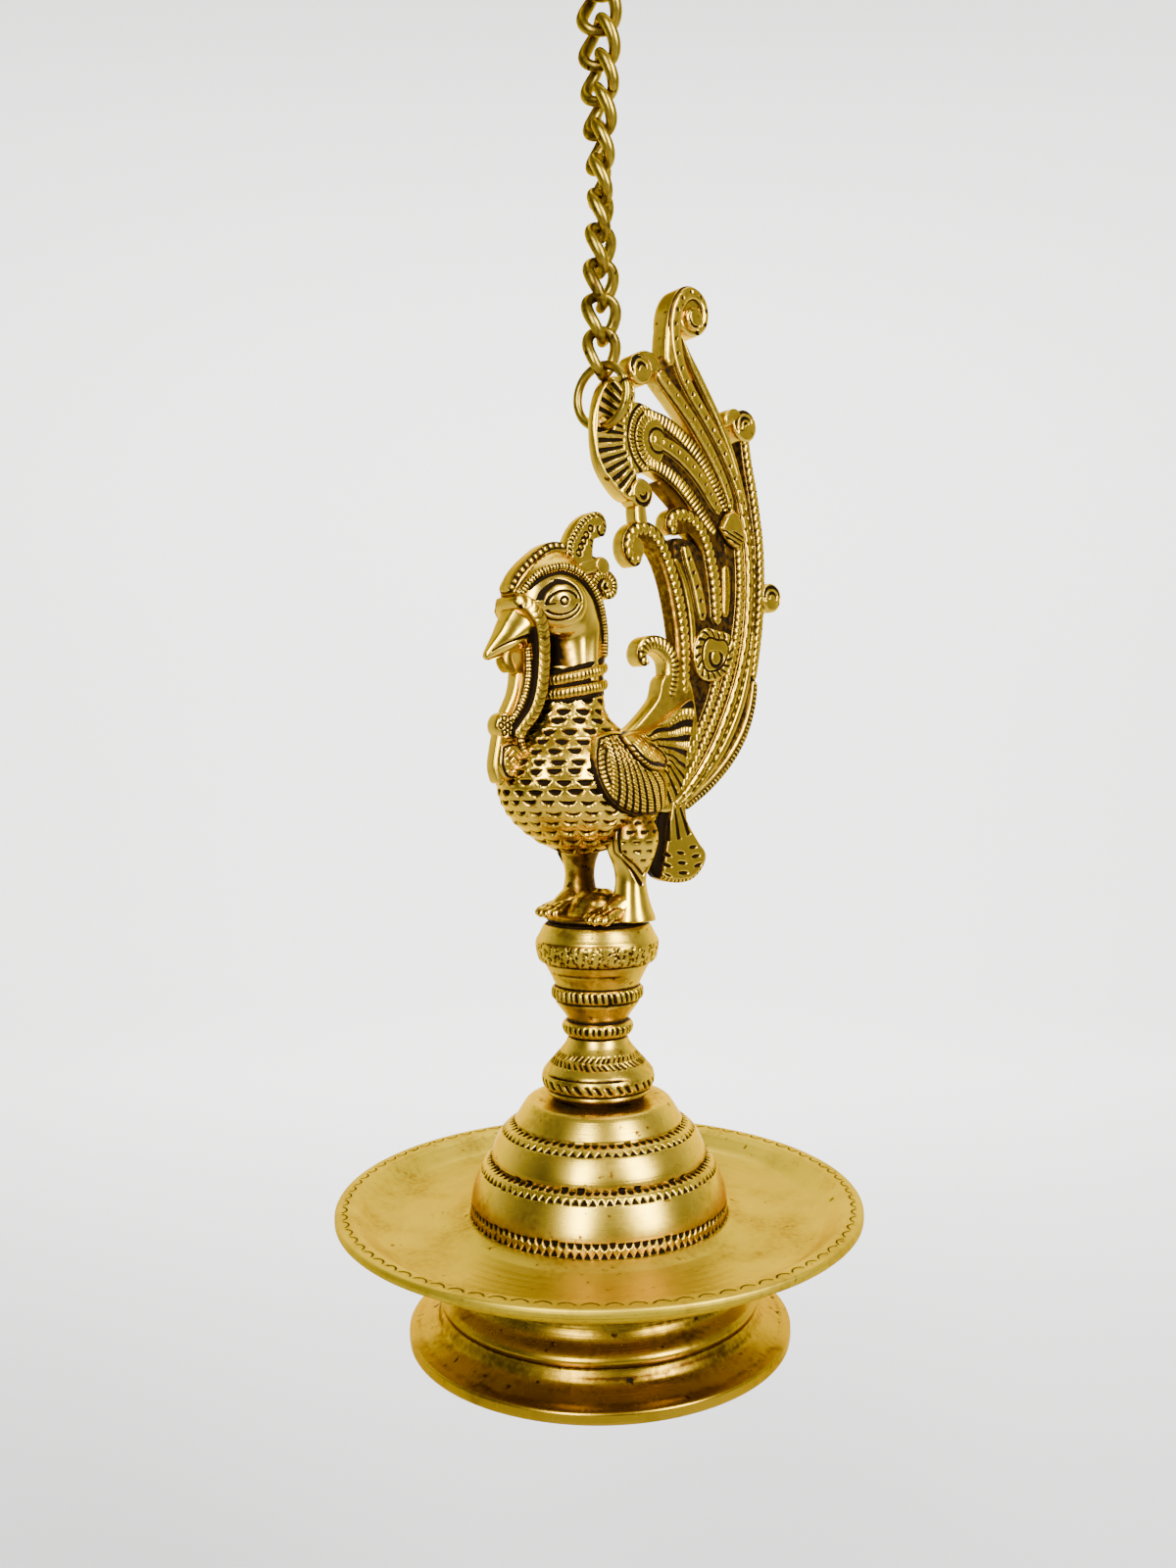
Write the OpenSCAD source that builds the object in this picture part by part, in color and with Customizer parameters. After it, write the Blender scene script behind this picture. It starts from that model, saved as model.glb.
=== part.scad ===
// Hanging oil lamp: a peacock on a turned stem above a round oil pan, hung by
// its tail from a curb chain. Millimetres, Z up. The origin is the centre of
// the hook bore at the top of the chain, and the bird faces -X.

/* [Hanger] */
// Radius of the bore that takes the ceiling hook
eye_bore_r = 9; // [6:0.5:14]
// Metal around the hook bore
eye_wall = 3.4; // [2.4:0.1:6]
// Thickness of the hanger plate
eye_t = 3.2; // [2:0.1:5]
// Radius of the small bore that the first link hangs in
eye_link_r = 2.8; // [2.5:0.1:4]

/* [Chain] */
// Wire diameter of a chain link
link_wire = 2.8; // [2:0.1:3]
// Outside length of a chain link
link_len = 15.5; // [14:0.1:18]
// Outside width of a chain link
link_w = 12.2; // [11.5:0.1:14]
// Twist from the middle of a link to either end, in degrees
link_twist = 45; // [35:1:50]
// Turn of the chain about the vertical from link to link, in degrees
chain_turn = 10.5; // [0:0.5:14]
// Free play left where two pieces of wire hang in each other
link_play = 0.2; // [0.1:0.05:0.5]

/* [Jump ring] */
// Outside diameter of the ring that joins chain and tail
ring_od = 20; // [18:0.5:24]
// Wire diameter of the ring
ring_wire = 2.6; // [2:0.1:3]
// Heading of the ring's plane about the vertical, in degrees
ring_heading = -76; // [-88:1:-70]

/* [Tail] */
// Thickness of the tail across its strands
tail_t = 6; // [4.6:0.2:6.4]
// Thickness of the scrolls at the ends of the strands
scroll_t = 7; // [6.6:0.2:9]
// Thickness of the web between the strands
tail_web_t = 4.4; // [2.4:0.2:4.4]
// Gap between the ring and the sides of its bore in the tail
ring_gap = 0.2; // [0.15:0.05:0.4]
// Distance of the ring's bore from the stem axis
tail_hole_x = 3.4; // [3.2:0.1:5]
// Height of the ring's bore above the bird's foot plate
tail_hole_h = 141.8; // [138:0.2:146]
// Width scale of a strand, 1 for the lamp as seen
strand_width = 1; // [0.9:0.02:1.15]

/* [Peacock] */
// Length of the body from breast to rump
body_len = 54; // [46:1:58]
// Greatest diameter of the body
body_dia = 37; // [32:0.5:40]
// Lift of the breast against the rump, in degrees
body_tilt = 12; // [8:1:18]
// Height of the body's middle above the foot plate
body_h = 38.5; // [37:0.5:42]
// Radius of the neck under the collars
neck_r = 10; // [8.5:0.1:11.5]
// Width of the head across the eyes
head_w = 21; // [18:0.5:24]
// Length of the head without the beak
head_len = 31; // [27:0.5:35]
// Thickness of the breast garland
garland_t = 4.8; // [3.6:0.2:6]
// Thickness of the crest feather
crest_t = 5.2; // [3.6:0.2:7]
// Distance of each leg from the middle plane
leg_spread = 10.8; // [9.5:0.1:12]
// Least radius of a leg
leg_r = 4.6; // [3.8:0.1:5.4]
// Radius of the bird's foot plate
plate_r = 15; // [13:0.1:16]
// Thickness of the bird's foot plate
plate_t = 3; // [2:0.2:4.5]
// Rise of the wing above the body
wing_rise = 1.3; // [0.8:0.1:2]
// Gap around the tail root in the body's slot
slot_gap = 0.1; // [0.05:0.05:0.3]

/* [Stem] */
// Height of the turned stem from dome to bird
stem_h = 51; // [46:0.5:60]
// Radius of the stem's bell foot
stem_bell_r = 16.3; // [14.5:0.1:18]
// Radius of the waist between the bead rings
stem_waist_r = 8.8; // [8:0.1:10]
// Radius of the lower bead ring
bead_low_r = 10.3; // [9.8:0.1:12]
// Radius of the upper bead ring
bead_up_r = 13.3; // [12.6:0.1:14.5]
// Radius of the knob under the bird
knob_r = 17.7; // [16.5:0.1:20]

/* [Oil pan] */
// Radius of the oil pan
pan_r = 75; // [68:0.5:85]
// Width of the flat rim band
rim_w = 5.5; // [4:0.5:8]
// Thickness of the rim's edge
rim_t = 2.6; // [2:0.1:4]
// Depth of the pan's floor under the rim
pan_depth = 5.9; // [5.4:0.1:9]
// Wall of pan and dome
pan_wall = 2.9; // [2.2:0.1:3.4]
// Radius of the dome's lowest tier
dome_r1 = 37; // [35:0.5:39]
// Radius of the dome's middle tier
dome_r2 = 30.8; // [29.5:0.2:32]
// Radius of the dome's top tier
dome_r3 = 24.1; // [23:0.2:25.5]
// Radius of the dome's flat top
dome_top_r = 19.9; // [18.6:0.2:21]
// Height of the lowest tier
tier1_h = 15.5; // [13:0.5:18]
// Height of the middle tier
tier2_h = 10.4; // [9:0.2:13]
// Height of the top tier
tier3_h = 6.4; // [5:0.2:8]

/* [Foot] */
// Radius of the foot's flange
foot_r = 54.6; // [52:0.2:60]
// Thickness of the flange's edge
foot_edge = 3.3; // [2.5:0.1:4.5]
// Height of the foot
foot_h = 29.6; // [27:0.2:36]
// Radius of the foot's waist
foot_waist_r = 40.5; // [38:0.5:42]
// Radius of the foot's top under the pan
foot_top_r = 44; // [42:0.5:48]
// Wall of the hollow foot
foot_wall = 3.2; // [2.4:0.1:4]

/* [Fasteners] */
// Diameter of the tie rod and of the bird's stud
rod_d = 8; // [6:0.5:9]
// Gap between a thread and its hole
thread_gap = 0.1; // [0.05:0.05:0.2]
// Depth of the tie rod in the stem
rod_grip = 14; // [10:0.5:15]
// Depth of the stud in the stem's top
stud_grip = 14; // [8:0.5:15]
// Height of the stud above the foot plate's seat
stud_rise = 7; // [5:0.5:8]
// Outside radius of the washer
washer_r = 10; // [8:0.5:14]
// Thickness of the washer
washer_t = 1.6; // [1:0.1:3]
// Width of the nut across its flats
nut_af = 13; // [12:0.5:16]
// Height of the nut
nut_h = 6.5; // [4:0.5:8]

/* [Hidden] */
link_count = 14;
brass = [0.80, 0.62, 0.26];
dull_brass = [0.66, 0.53, 0.24];
steel = [0.62, 0.62, 0.60];
// Rings along a link and sides around its wire
link_rings = 26;
link_sides = 8;

// Half axes of a link's centre line, and the step from link to link
link_a = (link_w - link_wire) / 2;
link_b = (link_len - link_wire) / 2;
link_pitch = 2 * link_b - link_wire - link_play;

// Heights along the chain, from the hook bore down to the ring's bore
eye_drop = eye_bore_r + eye_wall + eye_link_r;
link_sag = pow(eye_t / 2 + link_play, 2) * link_b / (1.8 * pow(link_a, 2));
first_top_z = -eye_drop - eye_link_r + link_wire / 2 + link_play + link_sag;
first_z = first_top_z - link_b;
last_z = first_z - (link_count - 1) * link_pitch;
ring_r = (ring_od - ring_wire) / 2;
ring_top_z = last_z - link_b + (link_wire + ring_wire) / 2 + link_play;
ring_z = ring_top_z - ring_r;
// The ring bends up and aside before it leaves the tail, so its bore is wider than its wire
ring_reach = tail_t / 2 / sin(-ring_heading);
ring_side = tail_t / 2 / tan(-ring_heading);
ring_rise = ring_r - sqrt(pow(ring_r, 2) - pow(ring_reach, 2));
tail_hole_r = norm([ring_side, ring_rise / 2]) + 1.06 * ring_wire / 2 + ring_gap;
hole_z = ring_z - ring_r + ring_rise / 2;

// The lamp hangs under the ring's bore. Its own zero is the bird's seat.
lamp_x = -tail_hole_x;
seat_z = hole_z - tail_hole_h;
dome_z = -stem_h;
tier3_z = dome_z - tier3_h;
tier2_z = tier3_z - tier2_h;
tier1_z = tier2_z - tier1_h;
// The pan's floor lies lower than the foot of the dome
floor_z = tier1_z - 2;
rim_z = floor_z + pan_depth;
pan_seat_z = floor_z - pan_wall;
foot_z = pan_seat_z - foot_h;
web_z = pan_seat_z - foot_wall;
rod_r = rod_d / 2;
hole_r = rod_r + thread_gap;
washer_z = web_z - washer_t;
nut_z = washer_z - nut_h;
rod_z = nut_z - 3;

// Centre of the body and its half axes
body_x = -6;
body_front = 0.48 * body_len;
body_back = body_len - body_front;
body_r = body_dia / 2;
head_r = head_w / 2;
head_x = -13;
head_z = 93;

// A point on the smooth curve through p1 and p2, at share t of the way
function spline_at(p0, p1, p2, p3, t) = 0.5 * (2 * p1 + (p2 - p0) * t
    + (2 * p0 - 5 * p1 + 4 * p2 - p3) * t * t + (3 * p1 - p0 - 3 * p2 + p3) * t * t * t);

// The smooth curve through the points c, with n steps from one to the next
function smooth(c, n = 3) = concat(
    [for (i = [0 : len(c) - 2]) for (j = [0 : n - 1])
        spline_at(c[max(i - 1, 0)], c[i], c[i + 1], c[min(i + 2, len(c) - 1)], j / n)],
    [c[len(c) - 1]]);

// Unit normal of the curve p at its point i, in the plane of the first two values
function normal_at(p, i) = let (
    d = p[min(i + 1, len(p) - 1)] - p[max(i - 1, 0)],
    s = norm([d[0], d[1]])) [-d[1], d[0]] / s;

// A flat strand along the smooth curve through [x, z, half width]
module strand(c, n = 3) {
    p = smooth(c, n);
    for (i = [0 : len(p) - 2]) {
        a = normal_at(p, i) * p[i][2] * strand_width;
        b = normal_at(p, i + 1) * p[i + 1][2] * strand_width;
        u = [p[i][0], p[i][1]];
        v = [p[i + 1][0], p[i + 1][1]];
        polygon([u + a, u - a, v - b, v + b]);
    }
}

// A round boss of a scroll
module boss(x, z, r) {
    translate([x, z]) circle(r = r * strand_width, $fn = 28);
}

// A flat shape drawn as [x, z], stood up in the bird's middle plane
module upright(t) {
    rotate([90, 0, 0]) linear_extrude(height = t, center = true) children();
}

// Places its children on the stem axis, with zero at the bird's seat
module on_lamp() {
    translate([lamp_x, 0, seat_z]) children();
}

// A turned form from the smooth curve through [r, z], closed on the axis
module turned(c, n = 3) {
    p = smooth(c, n);
    rotate_extrude($fn = 64) polygon(concat([[0, p[0][1]]], p, [[0, p[len(p) - 1][1]]]));
}

// The centre line of a link: an oval that turns about the vertical as it rises
function link_point(t) = let (
    x = link_a * cos(t) * (1 + 0.14 * pow(sin(t), 2)),
    z = link_b * sin(t),
    turn = -link_twist * sin(t)) [x * cos(turn), x * sin(turn), z];

function unit(v) = v / norm(v);

// A ring of points around the wire at angle t of the oval
function link_ring(t) = let (
    c = link_point(t),
    d = unit(link_point(t + 1) - link_point(t - 1)),
    n = unit(c - d * (c * d)),
    b = cross(d, n))
    [for (k = [0 : link_sides - 1]) let (a = 360 * k / link_sides)
        c + link_wire / 2 * (n * cos(a) + b * sin(a))];

// Heading of link i, counted from the top
function link_heading(i) = -180 + chain_turn * (link_count - i);

module chain_link(i) {
    points = [for (j = [0 : link_rings - 1]) each link_ring(360 * j / link_rings)];
    at = function (j, k) (j % link_rings) * link_sides + k % link_sides;
    faces = [for (j = [0 : link_rings - 1]) for (k = [0 : link_sides - 1])
        each [[at(j, k), at(j, k + 1), at(j + 1, k + 1)], [at(j, k), at(j + 1, k + 1), at(j + 1, k)]]];
    color(dull_brass)
    translate([0, 0, first_z - (i - 1) * link_pitch])
    rotate([0, 0, link_heading(i)])
    polyhedron(points, faces, convexity = 4);
}

module hanging_eye() {
    neck_w = eye_link_r + 1.6;
    color(dull_brass)
    rotate([90, 0, 0])
    difference() {
        union() {
            cylinder(h = eye_t, r = eye_bore_r + eye_wall, center = true, $fn = 64);
            translate([0, -eye_drop, 0])
            cylinder(h = eye_t, r = eye_link_r + eye_wall - 0.6, center = true, $fn = 48);
            translate([-neck_w, -eye_drop, -eye_t / 2])
            cube([2 * neck_w, eye_drop - eye_bore_r - eye_wall / 2, eye_t]);
        }
        cylinder(h = 2 * eye_t, r = eye_bore_r, center = true, $fn = 64);
        translate([0, -eye_drop, 0]) cylinder(h = 2 * eye_t, r = eye_link_r, center = true, $fn = 48);
    }
}

module tail_ring() {
    color(dull_brass)
    translate([0, 0, ring_z])
    rotate([90, 0, ring_heading])
    rotate_extrude($fn = 72) translate([ring_r, 0]) circle(d = ring_wire, $fn = 20);
}

// Tail shapes in the bird's middle plane, [x, z] from the bird's seat

// The root of the tail that sits in the body's slot
module tail_root() {
    polygon(smooth([[3, 53], [10, 56], [17, 62], [22, 69], [35, 69], [39, 50],
                    [33, 34], [26, 30], [18, 33], [9, 41], [3, 53]], 2));
}

// The sheet of metal that ties the strands together
module tail_web() {
    strand([[24.5, 165, 2.4], [30, 160, 4.4], [39, 152, 5], [48, 141, 5.4], [55, 125, 6.4], [58, 108, 7],
            [58.4, 93, 7.6], [54, 76, 8.8], [45, 58, 9.6], [35, 43, 9], [29, 34, 6]]);
    strand([[20, 139.5, 5.5], [29, 137, 7.2], [38, 132, 7.2], [46, 124, 7], [53, 114, 6.5]]);
    strand([[46, 116, 5], [48, 100, 6.5], [44, 84, 9.5], [38, 70, 9.5], [31, 52, 10]]);
    strand([[30, 112, 1.6], [36, 105, 7.5], [39, 92, 7.6], [37, 76, 6]]);
}

// Raised strands, from the top scroll down to the outer edge
module tail_strands() {
    strand([[23.5, 166, 2.6], [30, 158, 2.3], [38, 147.5, 2.3], [44.5, 137, 2.3], [50.5, 125.5, 2.3]]);
    strand([[30, 172, 3], [31, 167, 3.4], [36.4, 160, 3.6], [44, 151.8, 3.8], [50.7, 142.8, 3.4],
            [55.8, 133.6, 2.8], [59.2, 125, 2.6], [62, 111, 2.6], [62.6, 97, 2.6], [59.6, 80, 2.6],
            [53.2, 66, 2.6], [44.8, 52, 2.6], [35, 39, 2.4], [27.5, 31, 2]]);
    strand([[60, 148, 3], [61.4, 140, 2.2], [64.4, 126, 2.2], [66.6, 111, 2.2], [66.8, 98, 2.2],
            [65.2, 84, 2.2], [62.4, 70, 2.6], [58.4, 56, 2.4], [51.6, 46.5, 2.2], [43, 38, 2.2],
            [33, 31.6, 2]]);
    strand([[58.8, 109, 2.2], [58.4, 95, 2.4], [55.2, 79, 2.4], [49, 66, 2.2], [40.5, 53, 2.2], [30, 36, 2]]);
    boss(71.8, 97.4, 4.8);
    strand([[19, 113, 3.2], [25, 107, 3.2], [28.6, 98.5, 2.8], [31, 88, 2.8], [32.2, 78, 2.8],
            [31, 67, 3]]);
    strand([[29.5, 116.5, 2.4], [36, 117, 3], [42, 111.5, 2.8], [45.2, 103, 2.6], [46, 93, 2.6],
            [44.5, 84, 3]]);
    strand([[34, 110, 1.8], [37, 101, 2.2], [39.6, 92, 2.4], [40.4, 84, 2.6]]);
    strand([[24, 57, 3], [30, 62, 4], [35, 68, 3.4]]);
}

// The fan that carries the ring, its spirals and its feather
module tail_fan() {
    strand([[16.4, 158, 2.4], [11.4, 153.5, 4], [7.4, 147, 6.4], [6.6, 140, 7], [8.2, 133, 6.2],
            [12, 126.5, 4], [15, 123.5, 2.8]]);
    boss(16.6, 160, 3.9);
    strand([[16, 162, 2.4], [24, 162.4, 2.8]]);
    boss(15.6, 123.8, 4.3);
    strand([[12, 140, 8], [20, 140, 7.4], [24, 140, 4.5]]);
    strand([[18, 145.6, 2], [26, 144.3, 2.4], [33.5, 141.3, 2.5], [40.5, 136.5, 2.5], [46, 130.5, 2.5],
            [50.5, 123.5, 2.5]]);
    strand([[22, 140, 2.6], [30, 137.7, 2.6], [37, 134, 2.6], [43, 128.5, 2.5], [48.5, 122, 2.5]]);
    strand([[18, 134.4, 2], [26, 133.1, 2.3], [33, 129.3, 2.5], [39.5, 123.7, 2.6], [45.5, 117.5, 2.8]]);
    strand([[15.8, 121, 2.2], [16.6, 114, 2.4]]);
}

// Scrolls at the ends of the strands, which stand proud of them
module tail_scrolls() {
    strand([[22.6, 163, 2.2], [24.4, 172, 2.6], [27.6, 180, 3.2], [33.4, 183.6, 3.6], [38.4, 180, 4]]);
    boss(34.8, 178.2, 7);
    boss(59.8, 150.2, 4.9);
    strand([[51.5, 150, 2], [55, 153.2, 2.4], [59.5, 152, 3]]);
    boss(13.6, 105.5, 4.2);
    strand([[11.8, 106.5, 2.2], [14, 112, 2.8], [19.5, 112.6, 3.2], [22, 110.5, 3]]);
    boss(29.8, 114.2, 4);
    boss(43.5, 78, 7.6);
    strand([[48, 119.5, 2.6], [51.5, 117.2, 4.4], [55, 112, 3.6]]);
    boss(17, 75.6, 4);
    strand([[14.4, 77, 2.2], [17.6, 80.4, 2.6], [23, 80.4, 2.8], [27.6, 76, 3], [28, 69, 3.2]]);
}

// The tuft of feathers under the tail
module tail_tuft() {
    polygon(smooth([[25, 33], [32, 34], [35.5, 27], [39, 20], [42, 15], [39.5, 11], [33.5, 8.6],
                    [26.5, 9.6], [22.4, 13], [22.6, 22], [25, 33]], 2));
}

module tail_plume() {
    color(brass)
    on_lamp()
    difference() {
        union() {
            upright(tail_web_t) offset(delta = 0.02) tail_web();
            upright(tail_t) offset(delta = 0.02) {
                tail_root();
                tail_strands();
                tail_fan();
                tail_tuft();
            }
            upright(scroll_t) offset(delta = 0.02) tail_scrolls();
        }
        translate([tail_hole_x, 0, tail_hole_h]) rotate([90, 0, 0])
        cylinder(h = 3 * tail_t, r = tail_hole_r, center = true, $fn = 40);
    }
}

// The bird's body, grown by g, as a turned egg with its breast lifted
module bird_body(g = 0) {
    translate([body_x, 0, body_h]) rotate([0, body_tilt - 90, 0])
    turned([[0.4, -body_back - g], [5.5 + g, -body_back * 0.96 - g], [10.5 + g, -body_back * 0.78],
            [0.84 * body_r + g, -body_back * 0.45], [body_r + g, 0], [0.95 * body_r + g, body_front * 0.36],
            [0.76 * body_r + g, body_front * 0.66], [0.46 * body_r + g, body_front * 0.9],
            [0.4, body_front + g]]);
}

// One leg with its thigh, foot and the rounded step down to the plate
module bird_leg(side) {
    translate([2.6, side * leg_spread, 0])
    turned([[leg_r + 1.2, plate_t - 0.6], [leg_r + 0.9, plate_t + 1.5], [leg_r + 0.1, plate_t + 5],
            [leg_r, 11.5], [leg_r + 0.8, 15], [leg_r + 2.6, 20], [leg_r + 3.4, 26], [leg_r + 1.5, 34]]);
}

// Outline of a wing, [x, z]
module wing_outline() {
    polygon(smooth([[-8, 53], [-14, 46], [-15, 40], [-12, 35], [-6, 31.6], [4, 29.4],
                    [14, 29.5], [21, 34], [21, 44], [10, 52], [0, 54], [-8, 53]], 2));
}

// Garland of straps from the beak down to the breast
module garland() {
    polygon(smooth([[-29, 87], [-25, 85], [-21, 81], [-18.5, 74], [-18, 64], [-19, 54], [-23, 46],
                    [-27, 40],
                    [-32, 38.6], [-37, 41], [-37, 47], [-34.6, 51.5], [-35, 56], [-30.6, 61],
                    [-28.2, 68], [-27.6, 76], [-29, 87]], 2));
}

// Crest feather with its curled tip
module crest() {
    polygon(smooth([[-11, 99], [-11.4, 106], [-7.8, 112.5], [-2.6, 116.2], [1.4, 116.2], [3.2, 113],
                    [1.8, 109.6], [-1.2, 109], [-2.2, 105], [-3, 99], [-11, 99]], 2));
    strand([[-6, 99.5, 3], [-1, 100.4, 3.4], [1.4, 99.6, 2.6]], 2);
    boss(0.8, 101, 3);
    boss(2.6, 95.6, 3.7);
}

module peacock() {
    neck_lean = -6;
    color(brass)
    on_lamp()
    difference() {
        union() {
            cylinder(h = plate_t, r = plate_r, $fn = 64);
            turned([[8.5, plate_t - 0.5], [7.4, plate_t + 2.5], [6, stud_rise + 1.6],
                    [3.5, stud_rise + 2.6]]);
            bird_leg(1);
            bird_leg(-1);
            bird_body();
            intersection() {
                bird_body(wing_rise);
                upright(6 * body_dia) wing_outline();
            }
            translate([-8.2, 0, 46]) rotate([0, neck_lean, 0])
            turned([[neck_r + 4, -4], [neck_r + 2.6, 4], [neck_r + 0.4, 12], [neck_r, 17],
                    [neck_r + 1.6, 18.6],
                    [neck_r + 0.2, 20.6], [neck_r + 1.8, 22.6], [neck_r + 0.2, 24.8], [neck_r + 1.6, 26.6],
                    [neck_r + 0.2, 28.6], [neck_r + 0.8, 36], [neck_r - 0.8, 46]]);
            translate([head_x, 0, head_z]) rotate([0, 70, 0])
            turned([[0.5, -head_len / 2], [0.56 * head_r, -0.45 * head_len],
                    [0.86 * head_r, -0.28 * head_len],
                    [head_r, 0], [0.9 * head_r, 0.26 * head_len], [0.6 * head_r, 0.44 * head_len],
                    [0.5, 0.51 * head_len]]);
            for (side = [-1, 1])
                translate([-18, 0, 90.5]) rotate([side * 90, 0, 0])
                cylinder(h = head_r + 0.3, r1 = 7, r2 = 5.4, $fn = 40);
            translate([-21.4, 0, 89]) rotate([0, -137, 0])
            turned([[7.2, 0], [6.8, 7], [4.6, 14], [2.2, 20], [0.9, 23]]);
            upright(garland_t) garland();
            upright(crest_t) crest();
        }
        upright(tail_t + 2 * slot_gap) offset(delta = slot_gap) {
            tail_root();
            tail_tuft();
        }
        upright(scroll_t + 2 * slot_gap) offset(delta = slot_gap) tail_scrolls();
        translate([0, 0, -1]) cylinder(h = stud_rise + 1.4, r = hole_r, $fn = 40);
    }
}

module bird_stud() {
    color(steel)
    on_lamp()
    translate([0, 0, -stud_grip]) cylinder(h = stud_grip + stud_rise, r = rod_r, $fn = 40);
}

// Stem profile [r, z], from the dome to the bird, as turned on a lathe
module baluster() {
    k = stem_h / 51;
    low_z = dome_z + 20.6 * k;
    up_z = dome_z + 30.7 * k;
    color(brass)
    on_lamp()
    difference() {
        union() {
            turned([[stem_bell_r - 2.8, dome_z], [stem_bell_r - 2.6, dome_z + 0.8 * k],
                    [stem_bell_r - 0.6, dome_z + 2 * k],
                    [stem_bell_r, dome_z + 5.6 * k], [stem_bell_r - 1.1, dome_z + 9 * k],
                    [0.76 * stem_bell_r, dome_z + 12 * k], [stem_waist_r, dome_z + 16.4 * k],
                    [stem_waist_r, dome_z + 23 * k], [bead_up_r - 1, dome_z + 27.4 * k],
                    [bead_up_r - 0.9, dome_z + 33.4 * k],
                    [knob_r - 2.7, dome_z + 38.6 * k], [knob_r - 1.2, dome_z + 40.6 * k],
                    [knob_r, dome_z + 44.6 * k],
                    [knob_r - 1.4, dome_z + 48.6 * k], [knob_r - 3.4, 0]]);
            translate([0, 0, low_z]) rotate_extrude($fn = 64)
            translate([bead_low_r - 2.1, 0]) circle(r = 2.1, $fn = 24);
            translate([0, 0, up_z]) rotate_extrude($fn = 64)
            translate([bead_up_r - 2.1, 0]) circle(r = 2.1, $fn = 24);
        }
        translate([0, 0, dome_z - 1]) cylinder(h = rod_grip + 1.4, r = hole_r, $fn = 40);
        translate([0, 0, -stud_grip - 0.4]) cylinder(h = stud_grip + 2, r = hole_r, $fn = 40);
    }
}

// Pan and dome are one turned wall: up the inside, over the rim and back below
module oil_pan() {
    w = pan_wall;
    top = [[dome_top_r, dome_z], [dome_top_r + 0.9, dome_z - 0.7],
           [(dome_top_r + dome_r3) / 2 + 0.5, dome_z - 3.2], [dome_r3, tier3_z + 0.5]];
    middle = [[dome_r3 - 0.6, tier3_z], [dome_r3 + 2.2, tier3_z - 1.1], [dome_r2 - 2.2, tier3_z - 3.6],
              [dome_r2 - 0.4, tier3_z - 7.4], [dome_r2, tier2_z + 0.5]];
    lower = [[dome_r2 - 0.6, tier2_z], [dome_r2 + 2.2, tier2_z - 1.2], [dome_r1 - 1.9, tier2_z - 5.4],
             [dome_r1 - 0.5, tier2_z - 10], [dome_r1, tier1_z]];
    bowl = [[dome_r1 + 2.6, tier1_z - 0.9], [dome_r1 + 7, floor_z + 0.4], [pan_r - 22, floor_z],
            [pan_r - rim_w - 7, floor_z + 0.9], [pan_r - rim_w - 2.6, rim_z - 2.2],
            [pan_r - rim_w, rim_z - 0.4]];
    under = [[pan_r - 1.2, rim_z - rim_t - 0.2], [pan_r - rim_w + 0.6, rim_z - rim_t - 0.6],
             [pan_r - rim_w - 3.4, floor_z - 1.6], [pan_r - 18, pan_seat_z + 0.2]];
    hollow = [[dome_r1 - w, tier1_z + 1], [dome_r1 - w - 0.5, tier2_z - 10],
              [dome_r1 - w - 2.4, tier2_z - 5.4],
              [dome_r2 - w + 0.4, tier2_z - 2.4], [dome_r2 - w - 0.3, tier3_z - 7.4],
              [dome_r2 - w - 2.2, tier3_z - 4.4], [dome_r3 - w + 0.2, tier3_z - 2.4],
              [dome_r3 - w - 0.5, dome_z - 4.6], [dome_top_r - w, dome_z - w]];
    color(brass)
    on_lamp()
    rotate_extrude($fn = 96)
    polygon(concat([[hole_r, dome_z]], smooth(top), smooth(middle), smooth(lower), smooth(bowl),
        [[pan_r - 0.4, rim_z], [pan_r, rim_z - 0.5], [pan_r, rim_z - rim_t + 0.4]], smooth(under),
        [[foot_top_r, pan_seat_z], [dome_r1 - w, pan_seat_z]], smooth(hollow), [[hole_r, dome_z - w]]));
}

// Turned hollow foot with a flange, a stepped bead and a waist
module foot() {
    w = foot_wall;
    outside = [[foot_r, foot_z + foot_edge], [foot_r - 4, foot_z + foot_edge + 1],
               [foot_r - 8, foot_z + foot_edge + 3.2], [foot_r - 9.4, foot_z + foot_edge + 6.4]];
    waist = [[foot_r - 9, foot_z + foot_edge + 7.4], [foot_r - 9.6, foot_z + foot_edge + 9.8],
             [foot_waist_r + 2, foot_z + foot_edge + 11.4], [foot_waist_r, foot_z + foot_edge + 15.6],
             [foot_waist_r + 0.6, pan_seat_z - 7], [foot_top_r - 1.6, pan_seat_z - 1.8],
             [foot_top_r, pan_seat_z]];
    inside = [[foot_waist_r - w, web_z], [foot_waist_r - w, foot_z + foot_edge + 14],
              [foot_r - 9.4 - w, foot_z + foot_edge + 5.6], [foot_r - 6.5, foot_z]];
    color(brass)
    on_lamp()
    rotate_extrude($fn = 96)
    polygon(concat([[foot_r, foot_z]], smooth(outside), smooth(waist),
        [[hole_r, pan_seat_z], [hole_r, web_z]], smooth(inside)));
}

module tie_rod() {
    color(steel)
    on_lamp()
    translate([0, 0, rod_z]) cylinder(h = dome_z + rod_grip - rod_z, r = rod_r, $fn = 40);
}

module tie_washer() {
    color(steel)
    on_lamp()
    translate([0, 0, washer_z])
    difference() {
        cylinder(h = washer_t, r = washer_r, $fn = 48);
        translate([0, 0, -1]) cylinder(h = washer_t + 2, r = hole_r + 0.2, $fn = 40);
    }
}

module tie_nut() {
    color(steel)
    on_lamp()
    translate([0, 0, nut_z])
    difference() {
        cylinder(h = nut_h, r = nut_af / 2 / cos(30), $fn = 6);
        translate([0, 0, -1]) cylinder(h = nut_h + 2, r = hole_r, $fn = 40);
    }
}

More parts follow.
